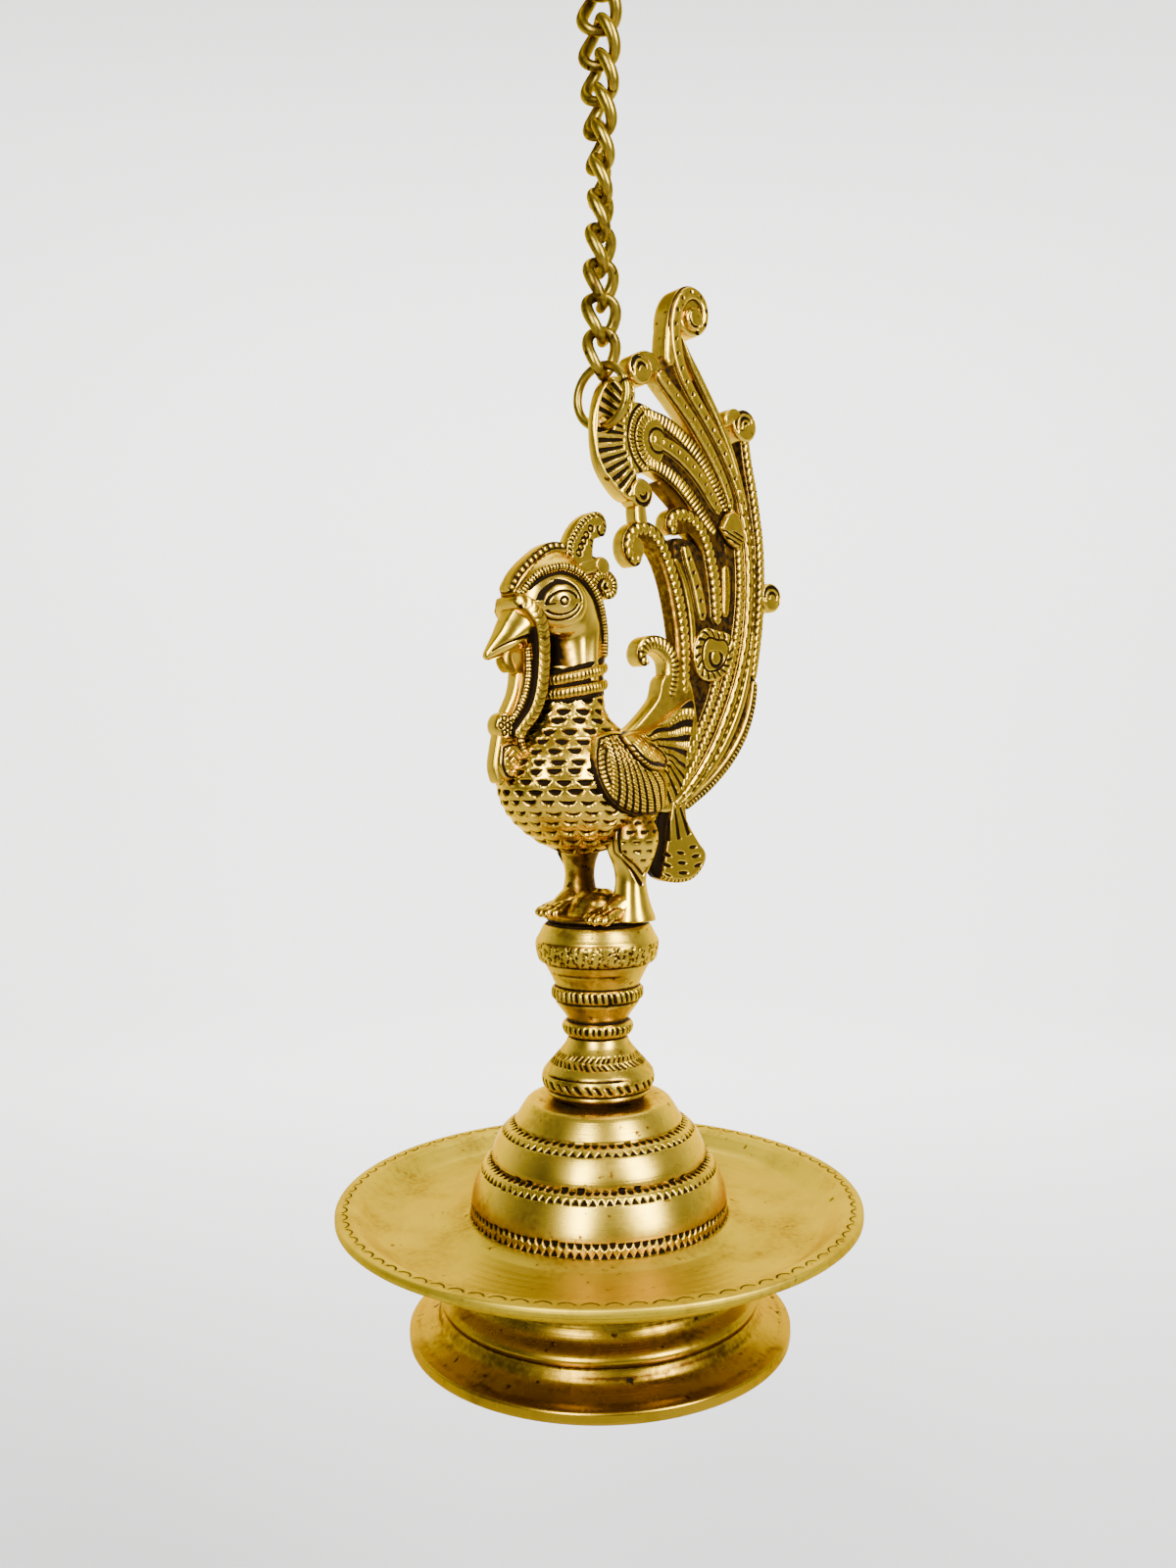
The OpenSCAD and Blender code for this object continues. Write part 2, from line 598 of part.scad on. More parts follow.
hanging_eye();
chain_link(1);  // chain_link_01
chain_link(2);  // chain_link_02
chain_link(3);  // chain_link_03
chain_link(4);  // chain_link_04
chain_link(5);  // chain_link_05
chain_link(6);  // chain_link_06
chain_link(7);  // chain_link_07
chain_link(8);  // chain_link_08
chain_link(9);  // chain_link_09
chain_link(10);  // chain_link_10
chain_link(11);  // chain_link_11
chain_link(12);  // chain_link_12
chain_link(13);  // chain_link_13
chain_link(14);  // chain_link_14
tail_ring();
tail_plume();
peacock();
bird_stud();
baluster();
oil_pan();
foot();
tie_rod();
tie_washer();
tie_nut();
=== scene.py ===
# %% [markdown]
# # A hanging oil lamp with a peacock
# The lamp is cast and turned brass: a chain, a ring, a flat tail casting, a
# bird, a turned stem, a pan with a stepped dome, and a foot. The solids of the
# part give every place and size. Here each visible piece is drawn again with
# its carving, as surfaces worked out with numpy, and rides on its body.

# %% Load the frame
import bpy
import numpy as np
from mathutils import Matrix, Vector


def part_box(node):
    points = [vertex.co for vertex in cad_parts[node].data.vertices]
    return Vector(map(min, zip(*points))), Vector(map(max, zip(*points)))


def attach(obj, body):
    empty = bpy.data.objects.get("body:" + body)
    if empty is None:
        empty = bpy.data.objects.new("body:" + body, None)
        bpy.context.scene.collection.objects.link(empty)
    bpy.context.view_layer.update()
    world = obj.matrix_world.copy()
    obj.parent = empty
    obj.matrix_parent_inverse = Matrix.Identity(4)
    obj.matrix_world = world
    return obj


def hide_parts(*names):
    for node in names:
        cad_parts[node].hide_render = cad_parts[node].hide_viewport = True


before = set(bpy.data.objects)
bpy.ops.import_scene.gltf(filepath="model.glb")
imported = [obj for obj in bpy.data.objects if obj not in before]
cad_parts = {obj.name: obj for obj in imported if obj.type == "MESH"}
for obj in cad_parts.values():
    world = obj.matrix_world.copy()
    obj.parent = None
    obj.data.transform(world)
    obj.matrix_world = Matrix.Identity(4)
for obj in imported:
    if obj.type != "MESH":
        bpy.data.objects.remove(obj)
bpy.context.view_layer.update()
MM = 0.001
seat_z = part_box("peacock")[0].z / MM
foot_low, foot_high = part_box("foot")
stem_x = (foot_low.x + foot_high.x) / 2 / MM
print("bird's seat at", round(seat_z, 2), "mm, stem axis at x", round(stem_x, 2), "mm")

# %% [markdown]
# ## The camera
# The photograph was taken close to the lamp with a short lens, a little above
# the pan, so the pan shows its inside and the foot shows its outer wall. The
# camera stands 356 mm from the stem and looks almost level, rolled by half a
# degree. Turning it could put the stem beside the middle of the picture, but a
# small shift of the lens does that and leaves the perspective alone.

# %% Camera at the photograph's place
turn, down, roll = np.radians(-40), np.radians(1.5), np.radians(0.45)
eye_up, eye_far, sensor = 48.5, 355.6, 36.0
photo_tall, focal_pixels, shift_pixels = 1600, 1264.6, -8
right = np.array([np.cos(turn), np.sin(turn), 0.0])
ahead = np.array([-np.sin(turn), np.cos(turn), 0.0])
eye = np.array([stem_x, 0, seat_z + eye_up]) - eye_far * ahead
look = ahead * np.cos(down) - np.array([0, 0, np.sin(down)])
flat_up = np.cross(right, look)
cam_right = right * np.cos(roll) - flat_up * np.sin(roll)
cam_up = np.cross(cam_right, look)
camera = bpy.data.objects.new("camera", bpy.data.cameras.new("camera"))
bpy.context.scene.collection.objects.link(camera)
camera.data.sensor_width = sensor
camera.data.lens = sensor * focal_pixels / photo_tall
camera.data.clip_start = 0.01
camera.data.shift_x = shift_pixels / photo_tall
pose = np.eye(4)
pose[:3, 0], pose[:3, 1], pose[:3, 2], pose[:3, 3] = cam_right, cam_up, -look, eye * MM
camera.matrix_world = pose.T.tolist()
bpy.context.scene.camera = camera
print("camera at", np.round(eye, 1), "mm, lens", round(camera.data.lens, 2), "mm")

# %% [markdown]
# ## Brass
# Old brass is bright where hands and cloth reach it and brown to black in the
# cuts, where patina stays. Every surface made below carries a number per point,
# the depth of its patina, so the finish follows the carving itself. In a few
# places the same number also holds painted shade. Noise on top gives the
# brown bloom, the cloudy sheen and the fine scratches. Painted images could do
# this too, but a number per point stays sharp at any size.

# %% Finishes of the lamp
def plain_node(tree, kind, **values):
    """Adds a node of that kind and sets its inputs by name."""
    node = tree.nodes.new(kind)
    for name, value in values.items():
        node.inputs[name.replace("_", " ")].default_value = value
    return node


def noise_at(tree, place, size, detail=3.0):
    """Noise with cells of about `size` mm, read from the piece's own coordinates."""
    node = plain_node(tree, "ShaderNodeTexNoise", Scale=1.0 / (size * MM), Detail=detail)
    tree.links.new(place, node.inputs["Vector"])
    return node.outputs["Fac"]


def spread(tree, value, low, high, to_low=0.0, to_high=1.0):
    """Maps low..high to to_low..to_high and stops at both ends."""
    node = plain_node(tree, "ShaderNodeMapRange", From_Min=low, From_Max=high, To_Min=to_low, To_Max=to_high)
    tree.links.new(value, node.inputs["Value"])
    return node.outputs["Result"]


def mixed(tree, share, first, second):
    """Mixes two colours, or two sockets, by a share from 0 to 1."""
    node = tree.nodes.new("ShaderNodeMix")
    node.data_type = "RGBA"
    tree.links.new(share, node.inputs["Factor"])
    for value, socket in ((first, node.inputs["A"]), (second, node.inputs["B"])):
        if isinstance(value, tuple):
            socket.default_value = (*value, 1)
        else:
            tree.links.new(value, socket)
    return node.outputs["Result"]


def worked(tree, kind, a, b):
    """One arithmetic step between two values or sockets."""
    node = tree.nodes.new("ShaderNodeMath")
    node.operation = kind
    for value, socket in ((a, node.inputs[0]), (b, node.inputs[1])):
        if isinstance(value, (int, float)):
            socket.default_value = value
        else:
            tree.links.new(value, socket)
    return node.outputs[0]


patina_black = (0.006, 0.0035, 0.002)


def brass_finish(name, bright, stain_and_shade, rough, brushed=0.0, grime=0.5):
    """Brass whose attribute of patina and painted shade mixes bright metal, a brown for stain and painted shade,
    and black, with lathe lines if brushed.
    """
    made = bpy.data.materials.new(name)
    made.use_nodes = True
    tree = made.node_tree
    shader = tree.nodes["Principled BSDF"]
    shader.inputs["Specular Tint"].default_value = (0.86, 0.62, 0.14, 1)
    place = tree.nodes.new("ShaderNodeTexCoord").outputs["Object"]
    depth = tree.nodes.new("ShaderNodeAttribute")
    depth.attribute_name = "patina"
    cloud = noise_at(tree, place, 16.0, 4.0)
    speck = noise_at(tree, place, 1.6, 5.0)
    bloom = worked(tree, "MULTIPLY", spread(tree, cloud, 0.48, 0.72), spread(tree, speck, 0.35, 0.65))
    tone = mixed(tree, spread(tree, cloud, 0.35, 0.65, 0.0, 0.35), bright, tuple(0.74 * c for c in bright))
    tone = mixed(tree, worked(tree, "MULTIPLY", bloom, grime), tone, stain_and_shade)
    pits = spread(tree, noise_at(tree, place, 3.2, 3.0), 0.67, 0.74, 0.0, 0.45)
    grain = spread(tree, speck, 0.3, 0.7, -0.1, 0.1)
    dark = worked(tree, "ADD", depth.outputs["Fac"], worked(tree, "ADD", pits, grain))
    tree.links.new(spread(tree, dark, 0.45, 0.7, 1.0, 0.3), shader.inputs["Metallic"])
    tree.links.new(spread(tree, dark, 0.4, 0.65, 0.5, 0.03), shader.inputs["Specular IOR Level"])
    # the brown and the black take patina, and painted shade where a surface carries it
    tone = mixed(tree, spread(tree, dark, 0.08, 0.4), tone, stain_and_shade)
    tone = mixed(tree, spread(tree, dark, 0.36, 0.64), tone, patina_black)
    tree.links.new(tone, shader.inputs["Base Color"])
    gloss = worked(tree, "ADD", spread(tree, cloud, 0.3, 0.7, rough - 0.04, rough + 0.06),
                   spread(tree, dark, 0.2, 0.9, 0.0, 0.34))
    tree.links.new(gloss, shader.inputs["Roughness"])
    surface = worked(tree, "MULTIPLY", speck, 0.08 if brushed else 0.2)
    if brushed:
        surface = worked(tree, "ADD", surface, lathe_lines(tree, place, brushed))
    bump = plain_node(tree, "ShaderNodeBump", Strength=0.35, Distance=0.00012)
    tree.links.new(surface, bump.inputs["Height"])
    tree.links.new(bump.outputs["Normal"], shader.inputs["Normal"])
    return made


def lathe_lines(tree, place, amount):
    """Fine rings about the stem: noise of radius and height alone, so it runs round the axis unbroken."""
    shift = tree.nodes.new("ShaderNodeVectorMath")
    shift.operation = "SUBTRACT"
    shift.inputs[1].default_value = (stem_x * MM, 0, 0)
    tree.links.new(place, shift.inputs[0])
    split = tree.nodes.new("ShaderNodeSeparateXYZ")
    tree.links.new(shift.outputs[0], split.inputs[0])
    radius = worked(tree, "SQRT", worked(tree, "ADD", worked(tree, "MULTIPLY", split.outputs[0], split.outputs[0]),
                                         worked(tree, "MULTIPLY", split.outputs[1], split.outputs[1])), 0.0)
    line = tree.nodes.new("ShaderNodeCombineXYZ")
    tree.links.new(radius, line.inputs[0])
    tree.links.new(split.outputs[2], line.inputs[1])
    fine = noise_at(tree, line.outputs[0], 0.45, 2.0)
    return worked(tree, "MULTIPLY", fine, amount)


cast_brass = brass_finish("cast_brass", (0.62, 0.405, 0.035), (0.14, 0.062, 0.004), 0.22, grime=0.6)
turned_brass = brass_finish("turned_brass", (0.55, 0.37, 0.03), (0.16, 0.078, 0.005), 0.27, brushed=1.0, grime=0.8)
pan_brass = brass_finish("pan_brass", (0.475, 0.335, 0.016), (0.23, 0.13, 0.006), 0.43, brushed=1.4, grime=0.9)
foot_brass = brass_finish("foot_brass", (0.34, 0.207, 0.010), (0.055, 0.023, 0.002), 0.27, brushed=1.0, grime=1.0)
chain_brass = brass_finish("chain_brass", (0.30, 0.205, 0.022), (0.045, 0.021, 0.003), 0.30, grime=1.0)
print("finishes:", cast_brass.name, turned_brass.name, pan_brass.name, foot_brass.name, chain_brass.name)

# %% [markdown]
# ## Closed surfaces
# A casting is gathered from closed surfaces. Each is a row of rings, every ring
# the same number of points. Rings could be bridged with operators, one by one,
# but whole arrays of face numbers are quicker and leave no seam open.

# %% Casting: rings of points become one mesh
class Casting:
    """Gathers closed surfaces, with a number per point for patina and painted shade, into one mesh."""

    def __init__(self):
        self.points, self.patina, self.faces, self.count = [], [], [], 0

    def add(self, rings, patina=0.0, loop=False):
        """Joins ring i to ring i + 1. The row closes on itself, or ends in a fan to the ring's middle.
        Faces point outward when the volume, the sum of p0 . (p1 x p2) / 6, is above zero."""
        rows, around = rings.shape[:2]
        at = np.arange(rows * around).reshape(rows, around)
        beside = np.roll(at, -1, axis=1)
        last = rows if loop else rows - 1
        over = np.roll(at, -1, axis=0)[:last]
        over_beside = np.roll(beside, -1, axis=0)[:last]
        quads = np.stack([at[:last], beside[:last], over_beside, over], axis=-1).reshape(-1, 4)
        points = rings.reshape(-1, 3)
        depth = np.broadcast_to(patina, (rows, around)).reshape(-1)
        fans = np.empty((0, 3), int)
        if not loop:
            first, end = np.full(around, len(points)), np.full(around, len(points) + 1)
            fans = np.vstack([np.stack([beside[0], at[0], first], axis=-1),
                              np.stack([at[-1], beside[-1], end], axis=-1)])
            points = np.vstack([points, rings[0].mean(axis=0), rings[-1].mean(axis=0)])
            depth = np.append(depth, [depth[:around].mean(), depth[-around:].mean()])
        tris = np.vstack([quads[:, [0, 1, 2]], quads[:, [0, 2, 3]], fans])
        a, b, c = points[tris[:, 0]], points[tris[:, 1]], points[tris[:, 2]]
        if np.einsum("ij,ij->i", a, np.cross(b, c)).sum() < 0:
            quads, fans = quads[:, ::-1], fans[:, ::-1]
        self.points.append(points)
        self.patina.append(depth)
        self.faces.append((quads + self.count, fans + self.count))
        self.count += len(points)

    def make(self, name, body, slot, finish, *nodes):
        """Puts the gathered surfaces into one mesh in metres, which rides on a body and stands for nodes."""
        points, patina = np.vstack(self.points) * MM, np.concatenate(self.patina)
        quads = np.vstack([f[0] for f in self.faces])
        fans = np.vstack([f[1] for f in self.faces])
        mesh = bpy.data.meshes.new(name)
        mesh.vertices.add(len(points))
        mesh.vertices.foreach_set("co", points.ravel())
        mesh.loops.add(quads.size + fans.size)
        mesh.loops.foreach_set("vertex_index", np.concatenate([quads.ravel(), fans.ravel()]).astype(np.int32))
        mesh.polygons.add(len(quads) + len(fans))
        starts = np.concatenate([np.arange(len(quads)) * 4, quads.size + np.arange(len(fans)) * 3])
        mesh.polygons.foreach_set("loop_start", starts.astype(np.int32))
        mesh.polygons.foreach_set("use_smooth", np.ones(len(starts), bool))
        mesh.update(calc_edges=True)
        # this attribute holds patina, and in a few places painted shade
        mesh.attributes.new("patina", "FLOAT", "POINT").data.foreach_set("value", patina.astype(np.float32))
        mesh.materials.append(finish)
        piece = bpy.data.objects.new(name, mesh)
        bpy.context.scene.collection.objects.link(piece)
        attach(piece, body)
        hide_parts(*nodes)
        print(name, "has", 2 * len(quads) + len(fans), "triangles")

# %% [markdown]
# ## Curves and turned forms
# The solids use one smooth curve everywhere: it passes through every given
# point, with the slope at a point taken from its two neighbours. The same curve
# is used here, walked in even steps so that carved patterns keep their pitch.
# Blender's own curves could be sampled, but arrays need no object for that.

# %% Smooth curves and turned forms
def smooth_curve(points, step):
    """Catmull-Rom curve through the points, walked in even steps of about `step` mm: distances and points."""
    p = np.asarray(points, float)
    q = np.vstack([p[0], p, p[-1]])
    t = np.linspace(0, 1, 16, endpoint=False)[:, None, None]
    p0, p1, p2, p3 = q[:-3], q[1:-2], q[2:-1], q[3:]
    legs = 0.5 * (2 * p1 + (p2 - p0) * t + (2 * p0 - 5 * p1 + 4 * p2 - p3) * t ** 2
                  + (3 * p1 - p0 - 3 * p2 + p3) * t ** 3)
    dense = np.vstack([legs.transpose(1, 0, 2).reshape(-1, p.shape[1]), p[-1:]])
    run = np.append(0, np.cumsum(np.linalg.norm(np.diff(dense[:, :2], axis=0), axis=1)))
    even = np.linspace(0, run[-1], max(int(np.ceil(run[-1] / step)) + 1, 4))
    return even, np.stack([np.interp(even, run, column) for column in dense.T], axis=1)


def profile(*parts, step=0.8):
    """Joins smooth [r, z] curves end to end into one outline."""
    return np.vstack([smooth_curve(part, step)[1] for part in parts])


def on_lamp(x, y, z):
    """Stacks x from the stem axis, y, and z from the bird's seat into points of the frame, in mm."""
    x, y, z = np.broadcast_arrays(x, y, z)
    return np.stack([x + stem_x, y, z + seat_z], axis=-1)


def turned(casting, line, sides, carve=None, middle=(0.0, 0.0), loop=False):
    """Spins an outline [r, z] about a vertical axis. carve(r, z, angle) gives height and patina;
    the height moves a point along the outline's normal."""
    angle = np.linspace(0, 2 * np.pi, sides, endpoint=False)[None, :]
    r, z = line[:, 0:1], line[:, 1:2]
    slope = np.gradient(line, axis=0)
    slope /= np.linalg.norm(slope, axis=1, keepdims=True) + 1e-9
    height, patina = carve(r, z, angle) if carve else (np.zeros((1, 1)), 0.0)
    sign = np.sign(np.sum(slope[:, 1] * r[:, 0]) or 1)
    r = r + sign * slope[:, 1:2] * height
    z = z - sign * slope[:, 0:1] * height
    casting.add(on_lamp(middle[0] + r * np.cos(angle), middle[1] + r * np.sin(angle), z), patina, loop)


def cut(distance, half_width):
    """1 in the middle of a cut, falling as a parabola to 0 at its edge."""
    return np.clip(1 - (distance / half_width) ** 2, 0, 1)


def saw(value):
    """Distance to the nearest whole number, from 0 to 0.5."""
    return np.abs(value - np.round(value))

# %% [markdown]
# ## Chain and ring
# The chain is bent from wire, a curb chain: each link is an oval that turns as
# it rises, so that neighbours lie flat. A curve with a bevel could be the wire,
# but here one formula gives the centre line, and the circle carried along it
# can swell at the link's sides. The last link is slimmer, because the tail's
# upper scroll is near it. The ring is plain wire, bent round and closed.

# %% Chain links
link_wire, link_len, link_w, link_twist, chain_turn = 2.8, 15.5, 12.2, 37.0, 10.5
links, link_sides = 14, 18
full_link, slim_link = (1.16, 0.28), (1.0, 0.2)


def oval(t, wide):
    """Centre line of a link: an oval of half axes a, `wide` times the solid's, and b. It turns about the
    vertical with its height."""
    a, b = wide * (link_w - link_wire) / 2, (link_len - link_wire) / 2
    x = a * np.cos(t) * (1 + 0.14 * np.sin(t) ** 2)
    bend = -np.radians(link_twist) * np.sin(t)
    return np.stack([x * np.cos(bend), x * np.sin(bend), b * np.sin(t)], axis=-1)


def wire_rings(line, heading, radius, sides):
    """Circles about the points of a closed line, square to its heading. The radius is one number or one per point."""
    out = line - heading * np.sum(line * heading, axis=1, keepdims=True)
    out /= np.linalg.norm(out, axis=1, keepdims=True)
    side = np.cross(heading, out)
    a = np.linspace(0, 2 * np.pi, sides, endpoint=False)[None, :, None]
    return line[:, None, :] + radius * (out[:, None, :] * np.cos(a) + side[:, None, :] * np.sin(a))


t = np.linspace(0, 2 * np.pi, 72, endpoint=False)
# darker at the top and bottom of each link, where it hooks into its neighbours
darker_at_link_ends = 0.08 + 0.9 * np.clip(np.abs(np.sin(t)) - 0.75, 0, 1)[:, None] * np.ones((1, link_sides))

for number in range(1, links + 1):
    node = f"chain_link_{number:02d}"
    low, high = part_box(node)
    heading = np.radians(-180 + chain_turn * (links - number))
    spin = np.array([[np.cos(heading), np.sin(heading), 0], [-np.sin(heading), np.cos(heading), 0], [0, 0, 1]])
    wide, swell = slim_link if number == links else full_link
    along = oval(t + 0.01, wide) - oval(t - 0.01, wide)
    along /= np.linalg.norm(along, axis=1, keepdims=True)
    radius = link_wire / 2 * (1 + swell * np.cos(t) ** 2)
    link_rings = wire_rings(oval(t, wide), along, radius[:, None, None], link_sides)
    link = Casting()
    link.add(link_rings @ spin + np.array([0, 0, (low.z + high.z) / 2 / MM]), darker_at_link_ends, loop=True)
    link.make(f"link_{number:02d}_wire", f"link_{number:02d}", "chain_brass", chain_brass, node)

# %% Jump ring
ring_low, ring_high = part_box("tail_ring")
ring_z = (ring_low.z + ring_high.z) / 2 / MM
ring_r, ring_wire, ring_sides, ring_heading = 8.7, 2.6, 20, np.radians(-76)
joint_at, joint_half = 0.35, 0.45
t = np.linspace(0, 2 * np.pi, 120, endpoint=False)
flat = np.array([np.cos(ring_heading), np.sin(ring_heading), 0])
hoop = ring_r * (np.cos(t)[:, None] * flat + np.sin(t)[:, None] * np.array([0, 0, 1]))
along = -np.sin(t)[:, None] * flat + np.cos(t)[:, None] * np.array([0, 0, 1])
joint = cut((t - joint_at) * ring_r, joint_half)[:, None, None]
rings = wire_rings(hoop, along, ring_wire / 2, ring_sides)
rings = rings + (hoop[:, None, :] - rings) * 0.22 * joint
jump_ring = Casting()
ring_patina = 0.05 + 0.9 * joint[:, :, 0] * np.ones((1, ring_sides))
jump_ring.add(rings + np.array([0, 0, ring_z]), ring_patina, loop=True)
jump_ring.make("jump_ring", "ring", "chain_brass", chain_brass, "tail_ring")

# %% [markdown]
# ## Hanger
# The plate at the top of the chain has a bore for a ceiling hook and a small
# one for the first link. Each bore's collar is a rounded oblong spun about the
# bore, and two short bars fill the waist between the collars. A cut with a
# Boolean could give the bores, but spun collars have clean round edges.

# %% Bars and discs of a flat casting
def bar_section(face, crown):
    """Outline of a bar across its line: side, corner, face 1 - crown a^2, corner, side, then the same below.
    Gives a across, b through the thickness, and 1 where carving reaches."""
    a = np.linspace(0.86, -0.86, face)
    rise = 1 - crown * a ** 2
    shoulder = (1 - crown * 0.8) * np.array([0.42, 0.80, 0.94])
    half_a = np.concatenate([[1, 0.985, 0.94], a, [-0.94, -0.985, -1]])
    half_b = np.concatenate([shoulder, rise, shoulder[::-1]])
    half_on = np.concatenate([[0, 0, 0.5], np.ones(face), [0.5, 0, 0]])
    return (np.concatenate([half_a, half_a[::-1]]), np.concatenate([half_b, -half_b[::-1]]),
            np.concatenate([half_on, half_on[::-1]]))


def bar(casting, points, half_t=3.0, carve=None, step=0.36, face=11, crown=0.14, side=0.0, patina=0.0, where=on_lamp):
    """Carries a rounded oblong along the smooth curve through [x, z, half width (, half thickness)].
    The ends are rounded by the width w sqrt(1 - (1 - e / w)^2) at distance e from an end."""
    run, line = smooth_curve(points, step)
    w = line[:, 2]
    thick = line[:, 3:4] if line.shape[1] > 3 else np.full((len(line), 1), half_t)
    reach = np.clip((np.minimum(run, run[-1] - run) + 0.15) / w, 0, 1)
    w = (w * np.sqrt(1 - (1 - reach) ** 2))[:, None]
    heading = np.gradient(line[:, :2], axis=0)
    heading /= np.linalg.norm(heading, axis=1, keepdims=True) + 1e-9
    a, b, on = bar_section(face, crown)
    height, dark = carve(run[:, None], a[None, :], w) if carve else (0.0, 0.0)
    x = line[:, 0:1] - heading[:, 1:2] * w * a
    z = line[:, 1:2] + heading[:, 0:1] * w * a
    y = side + thick * b + np.sign(b) * height * on
    casting.add(where(x, y, z), np.clip(patina + dark * on * np.ones_like(x), 0, 1))


def disc(casting, line, x, z, sides, carve=None, loop=False, where=on_lamp):
    """Spins [r, y] about an axis through x, z that runs across the bird. carve(r, y, angle) lifts the faces."""
    angle = np.linspace(0, 2 * np.pi, sides, endpoint=False)[None, :]
    r, y = line[:, 0:1], line[:, 1:2]
    height, dark = carve(r, y, angle) if carve else (0.0, 0.0)
    y = y + np.sign(y) * height
    casting.add(where(x + r * np.cos(angle), y, z + r * np.sin(angle)), dark, loop)


def in_frame(x, y, z):
    """Stacks x, y, z that are already in the frame."""
    return np.stack(np.broadcast_arrays(x, y, z), axis=-1)


def collar(inner, outer, half_t, soft=0.5):
    """A rounded oblong between two radii, as a closed outline [r, y]."""
    face = np.array([[inner, half_t - soft], [inner + 0.3 * soft, half_t - 0.3 * soft], [inner + soft, half_t],
                     [outer - soft, half_t], [outer - 0.3 * soft, half_t - 0.3 * soft], [outer, half_t - soft]])
    return np.vstack([face, face[::-1] * [1, -1]])


hanger = Casting()
disc(hanger, collar(9.0, 12.4, 1.6), 0, 0, 96, loop=True, where=in_frame)
disc(hanger, collar(2.8, 5.6, 1.58), 0, -15.2, 64, loop=True, where=in_frame)
for side in (-1, 1):
    waist = [[6.2 * side, -10.4, 0.9], [4.6 * side, -12.6, 1.2], [4.4 * side, -15.0, 1.0]]
    bar(hanger, waist, 1.5, where=in_frame)
hanger.make("hanger_plate", "hanger", "chain_brass", chain_brass, "hanging_eye")

# %% [markdown]
# ## Stem
# The stem is turned on a lathe and then punched by hand: a stippled belt on the
# knob, two rings cut into beads, and three belts of teeth on the bell. The
# outline is one curve. The marks could be separate cutters, but hundreds of
# Booleans are slow, so each belt is a pattern of the angle, kept to its own
# heights, that pushes the surface in.

# %% Stem
def belt(z, low, high, soft=0.15):
    """1 between two heights, with soft ends."""
    return np.clip((z - low) / soft, 0, 1) * np.clip((high - z) / soft, 0, 1)


def teeth(angle, z, low, high, count, lean=0.0, share=0.5):
    """Slanted teeth: the angle counted in teeth leans with the height and is cut near each whole number,
    a little unevenly."""
    across = angle * count / (2 * np.pi) + lean * (z - low) / (high - low)
    number = np.round(across) % count
    uneven = 1 + 0.22 * np.sin(number * 2.3)
    return cut(saw(across + 0.07 * np.sin(number * 4.1)), share / 2 * uneven) * belt(z, low, high)


def stipple(angle, z, count, row, seed=0.0):
    """Punch marks, one in each cell of angle and height, at a place that a sine hash gives."""
    u, v = angle * count / (2 * np.pi), z / row
    cell = np.floor(u) * 12.9898 + np.floor(v) * 78.233 + seed
    du = u % 1 - 0.5 - 0.3 * np.sin(cell * 43.7)
    dv = v % 1 - 0.5 - 0.3 * np.sin(cell * 17.3)
    return np.clip(1.8 * (1 - (du ** 2 + dv ** 2) / 0.11), 0, 1)


def stem_carving(r, z, angle):
    """Heights and patina of the stem: beads, teeth, stipple and scribed lines, and painted shade on its
    lowest 2 mm, where it stands on the dome.
    """
    beads = np.maximum(teeth(angle, z, -21.9, -18.9, 44, 0.25, 0.62), teeth(angle, z, -31.7, -29.6, 34, 0.0, 0.62))
    tooth = np.maximum(teeth(angle, z, -40.5, -38.9, 46, 0.9, 0.72), teeth(angle, z, -38.7, -37.2, 46, -0.7, 0.6))
    tooth = np.maximum(tooth, teeth(angle, z, -46.6, -44.3, 34, 0.5, 0.56))
    marks = stipple(angle, z, 74, 1.05) * belt(z, -11.4, -5.6)
    lines = sum(cut(z - at, 0.4) for at in (-47.6, -22.6, -18.2, -11.7, -28.2, -33.0, -0.3))
    part = np.clip(1.5 * np.sin(2 * angle + 0.4) + 0.4, 0, 1)
    lines = np.clip(lines + part * (cut(z + 42.9, 0.35) + 0.8 * cut(z + 5.3, 0.3) + 0.5 * cut(z + 14.3, 0.5)), 0, 1)
    patch = np.clip(np.sin(3 * angle + 0.7) * np.sin(0.9 * z + 2 * angle) - 0.25, 0, 1)
    height = -0.55 * beads - 0.45 * tooth - 0.4 * marks - 0.3 * lines
    dark = np.clip(0.9 * beads + 0.9 * tooth + 0.7 * marks + 0.95 * lines + 0.35 * patch, 0, 1)
    # painted shade: the stem darkens over its lowest 2 mm, where it stands on the dome
    return height, np.clip(dark + 0.5 * np.clip((-49.0 - z) / 1.0, 0, 1), 0, 1)


stem_line = profile([[4.1, -51.0], [13.0, -51.0]], [[13.2, -50.4], [14.2, -49.6], [15.2, -48.6], [15.1, -47.7],
                    [15.9, -46.8], [16.3, -45.2], [16.0, -43.4], [15.2, -42.0], [12.5, -39.0], [9.8, -35.8],
                    [8.9, -34.2], [8.7, -33.0], [9.7, -32.0], [10.3, -30.4], [9.8, -28.9], [8.8, -28.1],
                    [9.7, -26.4], [11.9, -23.4], [12.2, -22.5], [13.1, -21.7], [13.3, -20.4], [13.1, -19.1],
                    [12.3, -18.2], [12.7, -16.8], [14.7, -12.8], [15.4, -11.8], [16.7, -11.0], [17.4, -9.2],
                    [17.75, -6.8], [17.6, -5.2], [16.8, -3.8], [15.7, -1.6], [14.8, -0.3]],
                    [[14.4, 0.0], [4.1, 0.0]], step=0.4)
stem = Casting()
turned(stem, stem_line[1:-1], 420, stem_carving)
stem.make("stem_turned", "lamp", "brass", turned_brass, "baluster")

# %% [markdown]
# ## Pan and dome
# The pan and its stepped dome are spun from one outline in the solids. Here the
# dome, the floor and the rim are three rings of points, because the punches on
# the dome and the arcs on the rim need far smaller faces than the plain floor.

# %% Dome with three punched belts
mark_tall = 1.8


